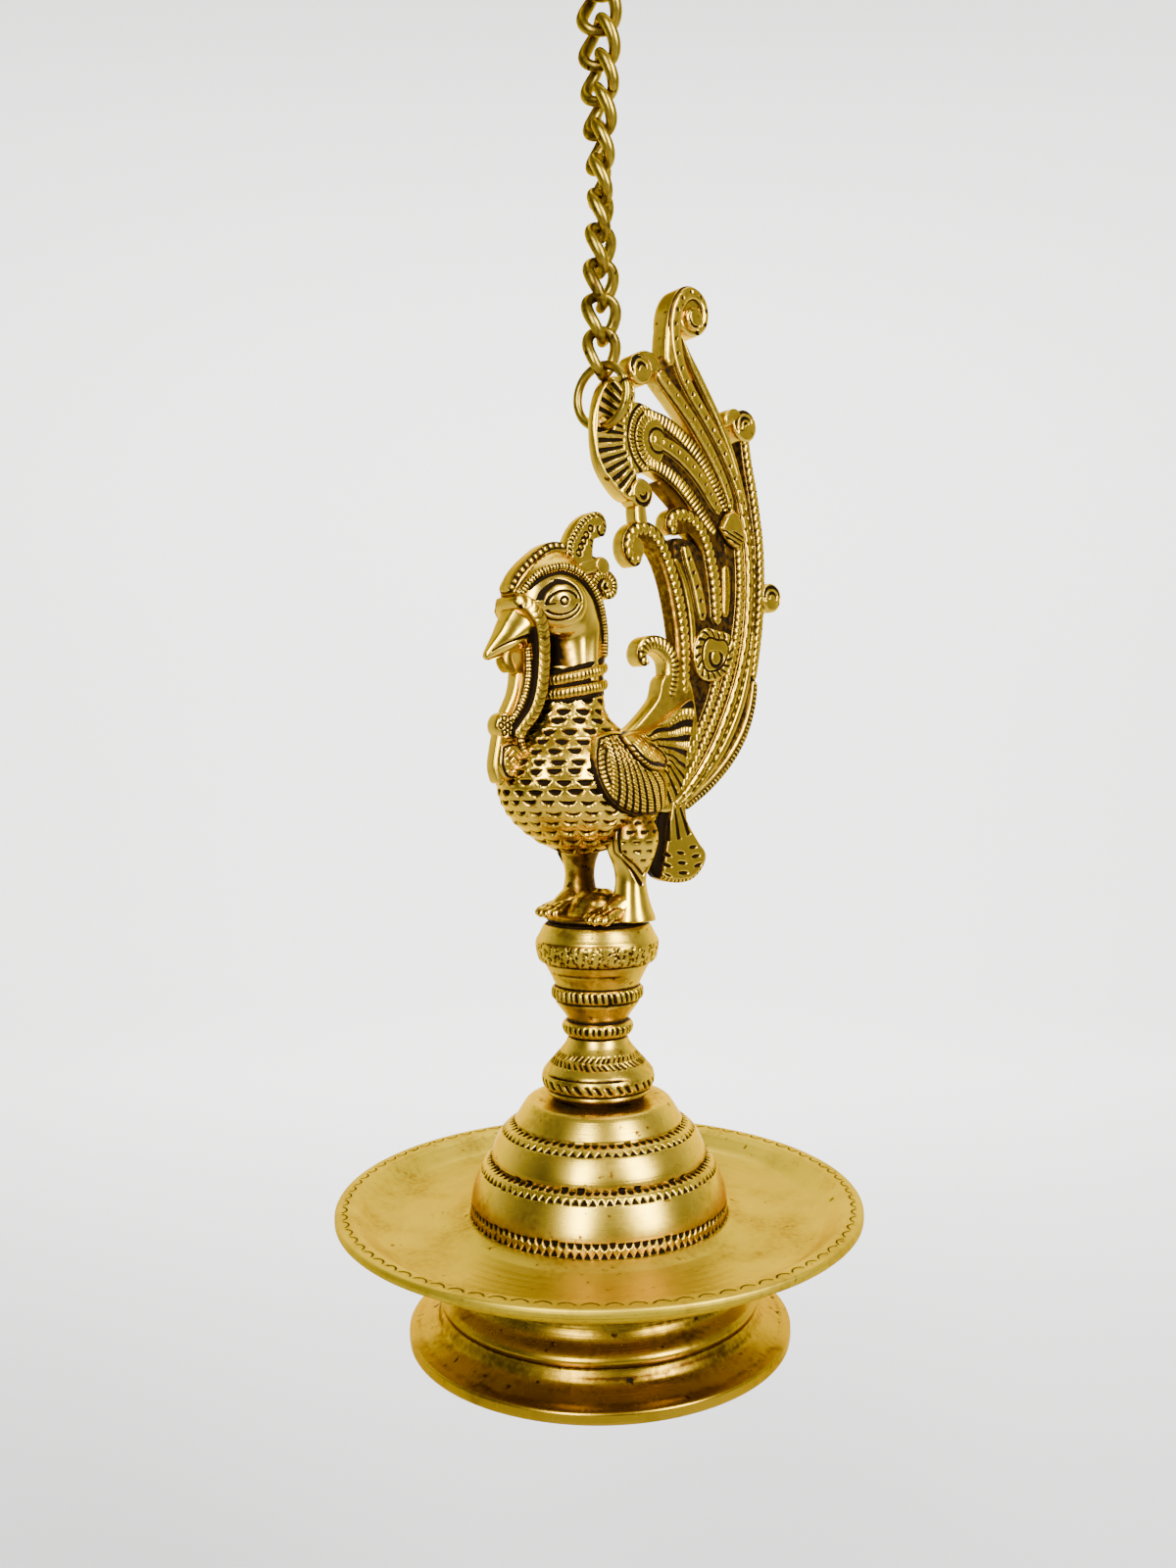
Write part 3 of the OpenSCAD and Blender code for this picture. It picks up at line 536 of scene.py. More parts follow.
def punches(r, z, angle, r0, z0, slope, count, pointed):
    """Marks along a circle at r0, z0, measured down the slope of the wall: half moons, or triangles that point up.
    Its half width is 1.02 sqrt(1 - t^2) from a half moon's flat top, and a triangle's grows evenly downward."""
    around = saw(angle * count / (2 * np.pi)) * 2 * np.pi * r0 / count
    number = np.round(angle * count / (2 * np.pi))
    down = (r - r0) * np.cos(slope) - (z - z0) * np.sin(slope) + 0.12 * np.sin(number * 2.7)
    t = (down + mark_tall / 2) / mark_tall
    width = 1.08 * np.clip(t, 0, 1) if pointed else 1.02 * np.sqrt(np.clip(1 - t ** 2, 0, 1))
    return np.clip((width - around) / 0.2, 0, 1) * (t > 0) * (t < 1) * (0.86 + 0.14 * np.sin(number * 1.9))


def dome_carving(r, z, angle):
    """A row of half moons over a row of triangles on each shoulder and at the base, stain where tiers meet, and
    painted shade on the flat top about the stem's foot.
    """
    rows = sum(punches(r, z, angle, *row) for row in (
        (24.9, -57.8, 0.45, 68, False), (27.1, -59.2, 0.8, 72, True), (31.5, -68.1, 0.45, 88, False),
        (33.5, -69.8, 0.9, 92, True), (36.75, -80.4, 1.5, 104, False), (37.0, -82.5, 1.4, 104, True)))
    outside = (z > -84) & (r > 19)
    step = cut(np.hypot(r - 23.9, z + 57.3), 0.8) + cut(np.hypot(r - 30.6, z + 67.7), 0.8)
    base = np.clip((-83.1 - z) / 0.5, 0, 1)
    # painted shade: the flat top darkens toward the stem's foot
    top = np.clip((21.0 - r) / 5.0, 0, 1) * (z > -52)
    rows = np.clip(rows, 0, 1) * outside
    return -0.55 * rows, np.clip(rows + 0.3 * step * outside + 0.5 * base * outside + 0.3 * top, 0, 1)


dome_outside = profile([[4.1, -51.0], [12.0, -51.0], [19.6, -51.05]],
                       [[19.9, -51.1], [20.8, -51.7], [22.5, -54.2], [24.1, -56.9]],
                       [[23.8, -57.5], [26.3, -58.5], [28.6, -61.0], [30.4, -64.8], [30.8, -67.3]],
                       [[30.5, -67.9], [33.0, -69.0], [35.1, -73.2], [36.5, -77.8], [37.0, -82.6], [37.6, -83.6],
                        [39.0, -84.6]], step=0.27)
belts = np.array([[26.0, -58.4], [32.5, -68.8], [36.9, -81.4]])
near_belt = np.min(np.linalg.norm(dome_outside[:, None, :] - belts, axis=2), axis=1) < 3.0
dome_outside = dome_outside[near_belt | (np.arange(len(dome_outside)) % 4 == 0)]
dome_inside = profile([[38.6, -86.4], [34.3, -85.6], [34.1, -82.3], [33.6, -77.8], [31.7, -73.2], [28.3, -70.2],
                       [27.6, -64.8], [25.7, -61.8], [21.4, -59.8], [20.7, -55.6], [17.0, -53.9], [4.1, -53.9]],
                      step=2.2)
dome = Casting()
turned(dome, np.vstack([dome_outside, dome_inside]), 760, dome_carving, loop=True)
dome.make("pan_dome", "lamp", "brass", turned_brass, "oil_pan")

# %% Floor of the pan
def floor_carving(r, z, angle):
    """Lathe waves a few hundredths deep, and stain that gathers at the dome and under the rim."""
    wave = 0.03 * np.sin(r * 2.1) + 0.02 * np.sin(r * 5.3)
    inside = z > -86
    pool = np.clip(1 - np.abs(r - 39.5) / 3.5, 0, 1) + 0.6 * np.clip(1 - np.abs(r - 68.6) / 2.2, 0, 1)
    blot = 0.5 + 0.5 * np.sin(5 * angle + 0.21 * r) * np.sin(3 * angle - 0.33 * r + 1.0)
    return wave * inside, np.clip(0.22 * pool * blot + 0.12 * (~inside), 0, 1)


floor_line = np.vstack([
    profile([[37.2, -83.4], [39.4, -83.8], [42.4, -84.75], [46.5, -85.25], [53.0, -85.35], [62.5, -84.4],
             [66.9, -81.7], [69.3, -79.95], [70.2, -79.7]], step=0.7),
    profile([[70.4, -81.8], [69.6, -82.6], [66.1, -86.9], [57.0, -88.0], [44.0, -88.2], [34.1, -88.2]], step=1.6),
    profile([[34.1, -87.4], [35.6, -84.6]], step=1.2)])
pan_floor = Casting()
turned(pan_floor, floor_line, 400, floor_carving, loop=True)
pan_floor.make("pan_floor", "lamp", "brass", pan_brass, "oil_pan")

# %% Rim with a row of arcs
def rim_carving(r, z, angle):
    """Arcs: in each of 82 steps, part of a circle of 2.4 mm whose open side faces the edge."""
    count = 82
    step = 2 * np.pi * 73 / count
    around = saw(angle * count / (2 * np.pi)) * step
    arc = cut(np.hypot(around, 74.0 - r) - 2.4, 0.3) * (r < 73.0) * (z > -79.8)
    edge = cut(np.abs(z + 80.9), 0.35) * (r > 74.2)
    return -0.22 * arc - 0.12 * edge, np.clip(0.95 * arc + 0.35 * edge + 0.3 * (z < -81.5), 0, 1)


rim_line = np.vstack([
    profile([[69.2, -80.1], [69.8, -79.62], [70.6, -79.45], [72.5, -79.4], [74.4, -79.4], [74.8, -79.6],
             [75.0, -80.0]], step=0.33),
    profile([[75.0, -80.6], [75.0, -81.4], [74.6, -81.85], [73.4, -82.1], [71.0, -82.4], [69.0, -82.6]], step=0.8),
    profile([[68.4, -82.3], [68.6, -80.9]], step=0.8)])
rim = Casting()
turned(rim, rim_line, 1380, rim_carving, loop=True)
rim.make("pan_rim", "lamp", "brass", pan_brass, "oil_pan")

# %% [markdown]
# ## Foot
# The foot is a hollow turned ring: a flange, a stepped bead, a waist, and a
# wide top under the pan. Screw could spin it too, but the stain in its waist is
# worked out with the surface, so it is one outline, closed through the hollow.

# %% Foot
def foot_carving(r, z, angle):
    """Scribed lines at the bead and the flange, lathe waves, and stain in the waist."""
    lines = np.clip(cut(z + 108.0, 0.5) + 0.3 * cut(z + 113.9, 0.3), 0, 1) * (r > 36)
    waist = np.clip(1 - np.abs(z + 97.0) / 10, 0, 1) * (r > 36)
    groove = np.clip(1 - np.abs(z + 110.4) / 3.0, 0, 1) * (r > 44)
    streak = 0.5 * np.sin(3 * angle + 0.9) + 0.35 * np.sin(8 * angle + 2.1 * z) + 0.3 * np.sin(5 * angle - 3.3 * z)
    streak = np.clip(streak, 0, 1)
    dark = 0.55 * lines + (0.12 + 0.42 * streak) * waist + (0.2 + 0.4 * streak) * groove + 0.25 * (r < 36)
    return -0.22 * lines + 0.03 * np.sin(3 * z), np.clip(dark, 0, 1)


foot_line = np.vstack([
    profile([[54.2, -117.8], [54.6, -117.4], [54.6, -114.9], [54.2, -114.5]], step=0.5),
    profile([[53.8, -114.4], [50.6, -113.5], [46.8, -111.6], [45.2, -109.2], [45.1, -108.2]], step=0.6),
    profile([[45.6, -107.4], [45.7, -106.2], [45.0, -105.0], [43.4, -104.0], [41.6, -102.6], [40.6, -100.4],
             [40.5, -98.0], [41.1, -95.2], [42.4, -90.0], [44.0, -88.25]], step=0.5),
    profile([[43.0, -88.2], [24.0, -88.2], [4.1, -88.2]], step=4.0),
    profile([[4.1, -91.4], [20.0, -91.4], [34.4, -91.4]], step=4.0),
    profile([[35.2, -92.2], [35.3, -100.5], [42.0, -108.9], [48.1, -117.6]], step=1.6),
    profile([[48.8, -117.8], [53.4, -117.8]], step=1.5)])
foot_ring = Casting()
turned(foot_ring, foot_line, 300, foot_carving, loop=True)
foot_ring.make("foot_turned", "lamp", "brass", foot_brass, "foot")

# %% [markdown]
# ## Carving on bars
# The tail is a flat casting of many bars. The founder cut each bar's face with
# a chisel: chevron beads, double ribs, rows of dimples, or hatching. Each
# pattern is a function of the distance along the bar and the place across it,
# and gives how deep the face is cut and how dark the cut has become. A texture
# could draw the cuts, but real ones catch the light and show in the outline.

# %% Patterns for bars
def edges(a, start=0.74):
    """Dark falling edges of a bar's face, from `start` of the half width outward."""
    return np.clip((np.abs(a) - start + 0.05) / (0.87 - start), 0, 1)


def chevrons(pitch=2.2, slant=0.3, deep=0.6):
    """Beads cut from both edges: triangles that widen from the middle of the bar to its edges."""
    def carve(s, a, w):
        far = np.abs(a)
        notch = np.clip((0.05 + 0.33 * far - saw(s / pitch + slant * far)) / 0.12, 0, 1) * (0.4 + 0.6 * far)
        dark = np.maximum(notch, edges(a, 0.68))
        return -deep * dark, 0.97 * dark
    return carve


def small_beads(pitch=1.6, line=0.1):
    """Fine beads on the outer half and a smooth rib on the inner half."""
    def carve(s, a, w):
        notch = np.clip((0.30 - saw(s / pitch)) / 0.14, 0, 1) * np.clip((a - line) / 0.3, 0, 1)
        dark = np.maximum(np.maximum(0.85 * notch, cut(a - line, 0.16)), edges(a, 0.72))
        return -0.5 * dark, 0.92 * dark
    return carve


def double_rib(deep=0.7, pitch=4.4):
    """Two ribs with a black cut between them: the first has a row of small dimples, the second wavy sides."""
    def carve(s, a, w):
        split = cut(a - 0.16 - 0.035 * np.sin(s * 2.4), 0.15)
        thin = 0.9 * cut(a - 0.6 - 0.04 * np.sin(s * 2.1), 0.12)
        dot = np.clip(1 - ((saw(s / pitch) * pitch) ** 2 + ((a + 0.38) * w) ** 2) / 0.62, 0, 1)
        dark = np.maximum(np.maximum(split, thin), edges(a, 0.74))
        return -deep * dark - 0.3 * dot, 0.95 * np.maximum(dark, 0.75 * dot)
    return carve


def dimpled(pitch=4.0, size=0.75, start=0.66, off=0.2):
    """A smooth rounded rib with a row of dimples along its middle and dark edges."""
    def carve(s, a, w):
        dot = np.clip(1.6 * (1 - ((saw(s / pitch) * pitch) ** 2 + (a * w - off) ** 2) / size ** 2), 0, 1)
        dark = edges(a, start)
        return -0.6 * dark - 0.35 * dot, np.maximum(0.95 * dark, 0.85 * dot)
    return carve


def smooth_rib(start=0.7):
    """A rounded rib with dark edges: its dimples are too small and too far apart to show."""
    return dimpled(60.0, 0.1, start)


def hatched(pitch=1.2, start=-0.8, end=0.8, line=None, lean=0.0, deep=0.45):
    """Fine cuts across the face between two places, with one cut along it at `line`."""
    def carve(s, a, w):
        notch = np.clip((0.27 - saw(s / pitch + lean * a)) / 0.15, 0, 1) * (a > start) * (a < end)
        along = cut(a - line, 0.15) if line is not None else 0.0 * a
        dark = np.maximum(np.maximum(0.85 * notch, along), edges(a, 0.74))
        return -deep * dark, 0.95 * dark
    return carve

# %% [markdown]
# ## Scrolls, plates and lenses
# Bars end in round scrolls: thick soft discs spun about an axis across the
# bird. Flat shapes with a free outline, such as the fan and the crest, and
# shapes that lie on the bird's skin, such as the wings, are worked out on polar
# grids. A ray leaves the middle at each angle, and the outline gives its length.
# A filled curve could be extruded instead, but its face has no points to carve.

# %% Scroll discs
def scroll_line(r, half_t, dish=0.25):
    """Outline [r, y] of a soft-edged disc, from the middle of one face round to the other."""
    rho = np.append(np.linspace(0.04, 0.88, 18), [0.92, 0.96, 0.99])
    drop = 0.9 * np.clip((rho - 0.78) / 0.22, 0, 1) ** 2.2
    face = np.stack([rho * r, half_t + dish * (1 - rho ** 2) - drop], axis=1)
    side = np.array([[r, 0.4 * half_t], [r, -0.4 * half_t]])
    return np.vstack([face, side, face[::-1] * [1, -1]])


def arcs(r, shares, start, sweep, width=0.75, deep=0.7):
    """Black arcs at shares of the radius, over `sweep` radians from `start`, pointed at both ends."""
    def carve(rho, y, angle):
        along = ((angle - start) % (2 * np.pi)) / sweep
        thin = np.clip(4 * along * (1 - along), 0, 1) ** 0.6 * width + 1e-6
        dark = sum(np.clip(1.5 * (1 - ((rho - k * r) / thin) ** 2), 0, 1) for k in shares) * (along < 1)
        dark = np.clip(dark, 0, 1) * (np.abs(y) > 0.8)
        return -deep * dark, dark
    return carve


def scroll(casting, x, z, r, half_t, carve, sides=72):
    """A scroll's disc at x, z of the bird's middle plane."""
    disc(casting, scroll_line(r, half_t), x, z, sides, carve)

# %% Polar grids
def ray_lengths(outline, middle, sides):
    """Length of the ray at each of `sides` angles, from the outline's own angle and distance."""
    closed = np.vstack([outline, outline[:1]])
    line = smooth_curve(closed, 0.4)[1][:-1] - middle
    angle, far = np.arctan2(line[:, 1], line[:, 0]), np.hypot(line[:, 0], line[:, 1])
    order = np.argsort(angle)
    want = np.linspace(-np.pi, np.pi, sides, endpoint=False)
    return want, np.interp(want, angle[order], far[order], period=2 * np.pi)


def polar(outline, middle, share, sides, inner=0.0):
    """x, z, distance to the edge and angle on an outline's polar grid: each ray from `inner` to its length."""
    angle, far = ray_lengths(np.asarray(outline, float), np.asarray(middle, float), sides)
    reach = inner + share[:, None] * (far - inner)
    return (middle[0] + reach * np.cos(angle), middle[1] + reach * np.sin(angle),
            far - reach, np.broadcast_to(angle, reach.shape))


def both_faces(front, back):
    """Rows of one face from the middle out, then rows of the other face from the edge in."""
    return np.concatenate([front, back[::-1]])


def plate(casting, outline, middle, half_t, carve=None, rows=22, sides=160, soft=1.0, bore=0.0):
    """A flat casting with that outline: both faces carved alike, the edge rounded over `soft` mm. half_t is a
    number or a function of x. With a bore, the rows start at its wall and the last row joins the first through it."""
    share = np.append(np.linspace(0.0 if bore else 0.04, 0.9, rows), [0.94, 0.97, 0.99, 1.0])
    x, z, edge, angle = polar(outline, middle, share, sides, bore)
    height, dark = carve(x, z, edge, angle) if carve else (0.0 * x, 0.0 * x)
    thick = half_t(x) if callable(half_t) else half_t
    y = thick - 0.7 * soft * np.clip(1 - edge / soft, 0, 1) ** 2 + height * np.clip(edge / 0.3, 0, 1)
    y = y - 0.35 * np.clip(1 - np.hypot(x - middle[0], z - middle[1]) / (bore + 0.6), 0, 1) * (bore > 0)
    casting.add(on_lamp(both_faces(x, x), both_faces(y, -y), both_faces(z, z)), both_faces(dark, dark), loop=bore > 0)


def lens(casting, outline, middle, skin, rise, carve=None, side=1, rows=36, sides=220, under=2.0):
    """A shape on a skin y = skin(x, z): it rises by `rise`, rounds over at its edge and closes `under` the skin,
    or, with no `under`, deep inside the casting."""
    share = np.append(np.linspace(0.02, 0.96, rows), [0.98, 0.995, 1.0])
    x, z, edge, angle = polar(outline, middle, share, sides)
    height, dark = carve(x, z, edge, angle) if carve else (0.0 * x, 0.0 * x)
    y = skin(x, z) + rise * np.sqrt(np.clip(edge / 1.1, 0, 1)) + height
    back = np.minimum(skin(x, z) - 2.0, 2.5) if under is None else skin(x, z) - under
    casting.add(on_lamp(both_faces(x, x[::6]), side * both_faces(y, back[::6]), both_faces(z, z[::6])),
                both_faces(dark, dark[::6]))


def flat_skin(y):
    """A level skin at that distance from the middle plane."""
    return lambda x, z: y + 0.0 * x

# %% [markdown]
# ## Tail
# The bars follow the solid's strands, so the ring's bore and the tail's root
# stay where the part has them. The strands lie close together, and the web
# between them lies lower and is brown with patina. A bar that ends in a curl
# follows the curl inward, as the founder modelled it in wax. One relief over the
# whole tail would be quicker, but bars keep their rounded sides and real gaps.

# %% Tail: web and long strands
webs, strands, fan = Casting(), Casting(), Casting()
for web in ([[24.5, 165, 2.0], [30, 160, 4.0], [39, 152, 4.6], [48, 141, 5.0], [55, 125, 6.0], [58, 108, 6.6],
             [58.4, 93, 7.2], [54, 76, 8.4], [45, 58, 9.4], [35, 43, 8.6], [29, 34, 5.6]],
            [[22, 139.5, 4.8], [29, 137, 6.6], [38, 132, 6.6], [46, 124, 6.4], [53, 114, 6]],
            [[46, 116, 4.6], [48, 100, 6], [44, 84, 9], [38, 70, 9], [31, 52, 9.6]],
            [[30, 112, 1.4], [36, 105, 7], [39, 92, 7], [37, 76, 5.6]],
            [[60, 148, 2.2], [61.4, 140, 2.0], [64.2, 126, 2.2], [66.2, 111, 2.4], [66.4, 98, 2.4], [65, 84, 2.2],
             [62.4, 70, 2.6], [58.4, 56, 2.6], [51.6, 46.5, 2.4], [43, 38, 2.2], [33, 31.6, 2]]):
    bar(webs, web, 2.2, step=1.2, face=5, patina=0.6)
bar(webs, [[51.2, 106, 1.5], [51.6, 98, 1.8], [51, 90, 1.5]], 2.9, step=1.0, face=7, patina=0.25)
bar(webs, [[54.4, 107, 0.9], [54.3, 99, 1.1], [52.8, 89, 0.8]], 2.1, step=1.0, face=5, patina=1.0)

bar(strands, [[37.8, 174.6, 1.3, 4.4], [40.4, 176.6, 1.4, 4.5], [41.4, 180.2, 1.5, 4.6], [40.2, 184.0, 1.8, 4.6],
              [37.0, 185.8, 2.1, 4.6], [33.2, 184.6, 2.5, 4.6], [30.4, 180.6, 2.7, 4.5], [29.2, 175.4, 2.8, 4.3],
              [29.8, 169.8, 2.8, 4.0], [31.4, 164.8, 2.7, 3.7], [33.8, 160.4, 2.5, 3.5], [37.2, 156.0, 2.3, 3.4],
              [42.3, 150.6, 2.2, 3.35], [49.3, 142.5, 2.1, 3.35], [55.0, 133.8, 2.0, 3.35], [58.6, 126.2, 1.9, 3.3]],
    carve=dimpled(4.2, 0.7, 0.74, -0.3))
bar(strands, [[32.4, 172.0, 0.5, 3.6], [35.4, 167.4, 1.1, 3.5], [39.4, 162.4, 1.6, 3.3], [45.0, 155.3, 1.7, 3.1],
              [49.4, 149.0, 1.7, 3.1], [53.8, 141.5, 1.5, 3.1], [57.4, 133.2, 1.2, 3.1], [60.4, 125.0, 0.9, 3.1]],
    carve=smooth_rib())
bar(strands, [[56.8, 130.4, 1.9], [58.8, 125.6, 2.1], [61.2, 116.4, 2.4], [62.5, 107.5, 2.6],
              [62.6, 97.5, 2.7], [61.8, 88, 2.7], [60.0, 78.6, 2.7], [56.8, 68.8, 2.7], [52.3, 59, 2.7],
              [46.4, 49, 2.6], [40.3, 41.4, 2.4], [34.4, 35.6, 2.2], [28.5, 31.4, 2.0]], 3.3, double_rib())
bar(strands, [[63.4, 86, 1.0], [62.2, 77, 1.5], [60.2, 68.6, 1.7], [56.6, 59.6, 1.7], [50.9, 50.2, 1.7],
              [44.6, 43, 1.6], [37.8, 36.8, 1.4], [31.6, 32.2, 1.2]], 2.9, smooth_rib(), patina=0.06)
bar(strands, [[23.0, 160.4, 2.4], [28.2, 156.2, 2.5], [34.5, 150.9, 2.5], [38.8, 146.8, 2.5], [43.6, 141.4, 2.4],
              [48.0, 135.6, 2.2], [51.4, 130.0, 2.0], [53.8, 124.6, 1.8]], 3.15, dimpled(4.6, 0.6, 0.72))
bar(strands, [[53.2, 125.4, 1.5], [55.8, 118.2, 1.7], [57.6, 109, 2.0], [58.0, 99, 2.1], [57.2, 90, 2.1],
              [55.4, 81, 2.1], [52.2, 71.4, 2.1], [47.8, 61.8, 2.0], [42.2, 51.8, 2.0], [36.6, 43.6, 1.9],
              [31.2, 36.8, 1.6]], 3.1, chevrons(2.2))
bar(strands, [[60.4, 147.0, 1.9], [61.8, 139, 2.0], [63.8, 131, 2.1], [65.4, 123, 2.1], [66.8, 114.5, 2.1],
              [67.3, 106, 2.1], [67.2, 97, 2.1], [66.4, 88, 2.1], [65.0, 79, 2.0], [63.6, 71, 1.7]], 3.0,
    chevrons(2.4, -0.25))
bar(strands, [[64.2, 70.5, 1.8], [63.0, 63, 2.0], [59.6, 54.6, 2.1], [54.0, 47.0, 2.1], [46.8, 40.4, 2.0],
              [39.8, 35.6, 1.9], [33, 31.8, 1.6]], 2.95, small_beads(1.4, -0.1))
bar(strands, [[47.6, 72, 1.7], [45.2, 64.5, 2.0], [42.0, 58, 2.1], [38.6, 52.4, 2.1], [35.0, 47.6, 2.1],
              [30.8, 41.4, 1.9], [27.4, 36.4, 1.6]], 3.05, chevrons(2.3))
print("long strands gathered:", len(strands.points))

# %% Tail: inner strands with hooks
bar(strands, [[15.6, 105.2, 1.5], [13.4, 104.0, 1.8], [11.2, 106.4, 2.0], [11.6, 110.2, 2.3], [15.0, 113.2, 2.4],
              [20.0, 113.0, 2.5], [24.4, 109.2, 2.6], [27.6, 103.2, 2.6], [30.4, 96.2, 2.6], [32.4, 88.4, 2.6],
              [33.4, 80.4, 2.5], [33.6, 73, 2.4], [33.2, 66, 2.1]], 3.2, chevrons(2.3))
bar(strands, [[29.4, 113.6, 1.8], [27.9, 116.0, 2.0], [29.6, 118.6, 2.3], [34.4, 119.4, 2.5], [39.4, 117.0, 2.5],
              [43.0, 112.0, 2.6], [45.2, 105.8, 2.8], [46.6, 99.4, 2.9], [47.2, 93.2, 2.8], [47.2, 87.4, 2.4]], 3.25,
    chevrons(2.3))
bar(webs, [[29.6, 106, 1.0], [33.2, 100, 1.5], [35.6, 93, 1.8], [36.8, 86, 1.8], [37.0, 78, 1.5]], 2.75,
    smooth_rib(0.6), patina=0.2)
bar(strands, [[33.6, 110.6, 1.8], [35.8, 105, 2.4], [38.4, 99.2, 2.6], [40.2, 93, 2.6], [41.0, 88.4, 2.1]], 3.05,
    dimpled(4.4, 0.85, 0.72, 0.0))
bar(strands, [[18.4, 74.4, 1.3], [16.4, 75.4, 1.7], [16.2, 77.8, 2.0], [19.0, 80.2, 2.2], [23.4, 80.4, 2.2],
              [27.2, 78.2, 2.2], [29.0, 74.4, 2.2], [28.9, 69.6, 2.1], [27.2, 64.6, 1.9]], 3.3,
    hatched(1.5, -0.75, 0.9, None, 0.3))


def medallion_cuts(x, z, edge, angle):
    """A zigzag border, a groove inside it, and a crescent cut below the boss."""
    zigzag = cut(saw(angle * 17 / (2 * np.pi) + 0.25 * edge), 0.26) * (edge > 0.5) * (edge < 2.6)
    groove = cut(edge - 3.1, 0.5)
    ring = cut(np.hypot(x - 45.6, z - 77.0) - 2.6, 0.85) * np.clip((79.4 - z) / 1.2, 0, 1)
    dark = np.maximum(np.maximum(0.9 * zigzag, groove), ring)
    return -0.55 * dark, 0.95 * dark


plate(strands, [[36.8, 80], [38.6, 83.8], [42, 86], [47, 85.6], [52, 84.6], [54, 81], [52.8, 75.6],
                [49.4, 71.4], [43.8, 69.8], [39.2, 71], [36.8, 75.4]], (45.2, 77.8), 3.8, medallion_cuts,
      rows=34, sides=220)
scroll(webs, 36.6, 179.0, 5.8, 3.2, None, 60)
scroll(strands, 36.4, 178.2, 3.5, 4.9, arcs(3.5, (0.7,), 2.6, 2.8, 0.4), 48)
scroll(webs, 13.6, 107.6, 4.0, 2.6, None, 48)
bar(webs, [[27.4, 163, 2.2], [28.4, 172, 2.6], [30.6, 179.4, 3.0], [34.8, 183.8, 2.8], [39.4, 182.6, 2.6]],
    3.5, step=0.8, face=5)
bar(webs, [[11.6, 107, 2.0], [14, 112, 2.6], [19.5, 112.4, 3.0], [25, 107, 2.9], [28.8, 98.5, 2.7], [31.4, 88, 2.6],
           [32.6, 78, 2.6], [31.4, 67, 2.8]], 2.6, step=0.8, face=5, patina=0.4)
bar(webs, [[29.8, 115.6, 3.0], [36, 117, 2.9], [42.4, 111.5, 2.6], [45.8, 103, 2.4], [47.2, 93, 2.4]], 2.6,
    step=0.8, face=5, patina=0.4)
bar(webs, [[15.4, 77, 2.2], [18.2, 79.8, 2.4], [23, 79.8, 2.6], [27.8, 76, 2.8], [28.2, 68, 3.0],
           [24.4, 58, 3.2]], 2.9, step=0.8, face=5)
print("hooks gathered:", len(strands.points))

# %% [markdown]
# ## Fan
# The fan at the tail's front carries the ring. It is a plate about the ring's
# bore, so that the bore stays open without a Boolean. Its cuts are laid out
# about the fan's focus: black wedges outside, two dark arcs with beads between
# them, and short rays about a ring inside.

# %% Tail: fan with the ring's bore
bore, bore_r, focus = (3.4, 141.8), 2.4, (22.5, 140.0)


def fan_cuts(x, z, edge, angle):
    """By distance from the focus: a ring cut at 3.5 mm, rays outside it, two arcs with beads between them,
    then wedges."""
    dx, dz = focus[0] - x, z - focus[1]
    far, way = np.hypot(dx, dz), np.arctan2(dz, dx)
    slot = way / 0.135
    number = np.round(slot)
    wedge = np.clip((0.27 - np.abs(slot - number)) / 0.1, 0, 1)
    wedge = wedge * np.clip((far - 12.8 - 0.9 * np.sin(number * 2.3) ** 2) / 0.5, 0, 1)
    wedge = wedge * np.clip((edge - 1.2 - 0.6 * np.sin(number * 1.7) ** 2) / 0.4, 0, 1) * (np.abs(way) < 1.05)
    ring = np.maximum(np.maximum(cut(far - 11.7, 0.65), cut(far - 9.1, 0.5)), cut(far - 3.5, 0.6))
    beads = cut(saw(way * 9.0), 0.24) * (far > 9.6) * (far < 11.0)
    rays = cut(saw(way * 5.6), 0.2) * (far > 6.2) * (far < 8.5)
    dark = np.maximum(np.maximum(wedge, ring), np.maximum(0.8 * beads, 0.85 * rays))
    return -0.6 * dark, dark


def fan_half(x):
    """Half thickness of the fan: 1.7 mm at its front edge, growing evenly to 3 mm over 11 mm."""
    return 1.7 + 1.3 * np.clip((x + 1.0) / 11.0, 0, 1)


plate(fan, [[10.4, 156.4], [6, 156], [2.2, 152.6], [-0.2, 146.6], [-1.0, 140.4], [-0.4, 134.2], [1.4, 129.2],
            [5, 125.2], [9.4, 122], [13.4, 121.4], [15.2, 124.6], [14.2, 129], [13, 134], [12.6, 140],
            [13, 146], [14, 151], [13.4, 155.2]], bore, fan_half, fan_cuts, rows=56, sides=360, bore=bore_r)
plate(fan, [[11.6, 149.4], [16, 150], [21, 148.6], [24.6, 145], [25.6, 140], [24.6, 135], [21, 131.4], [16, 130],
            [11.6, 130.6], [10.4, 140]], (18.6, 140), 3.05, fan_cuts, rows=40, sides=260)
bar(fan, [[17, 147.6, 1.6], [22, 146.8, 2.0], [27, 145.4, 2.4], [33, 142.7, 2.5], [39.2, 138.6, 2.5],
          [44.4, 133.2, 2.3], [48.8, 127.2, 2.0], [51.4, 122.8, 1.5]], 3.1, hatched(1.4, -0.8, 0.85))
bar(fan, [[20.6, 140.2, 2.0], [24.0, 139.8, 2.4], [28.6, 138.6, 2.7], [34, 136.2, 2.9], [40.2, 131.6, 2.8],
          [45.4, 125.8, 2.4], [48.8, 121.6, 1.8]], 3.25, dimpled(3.5, 0.65, 0.74, 0.0))
bar(fan, [[17.6, 132.6, 1.6], [21.4, 132.8, 2.1], [26, 131.6, 2.4], [32.2, 128.4, 2.5], [38.2, 123.4, 2.5],
          [43, 118.6, 2.2], [46.6, 115.4, 1.7]], 3.1, hatched(1.4, -0.8, 0.85))
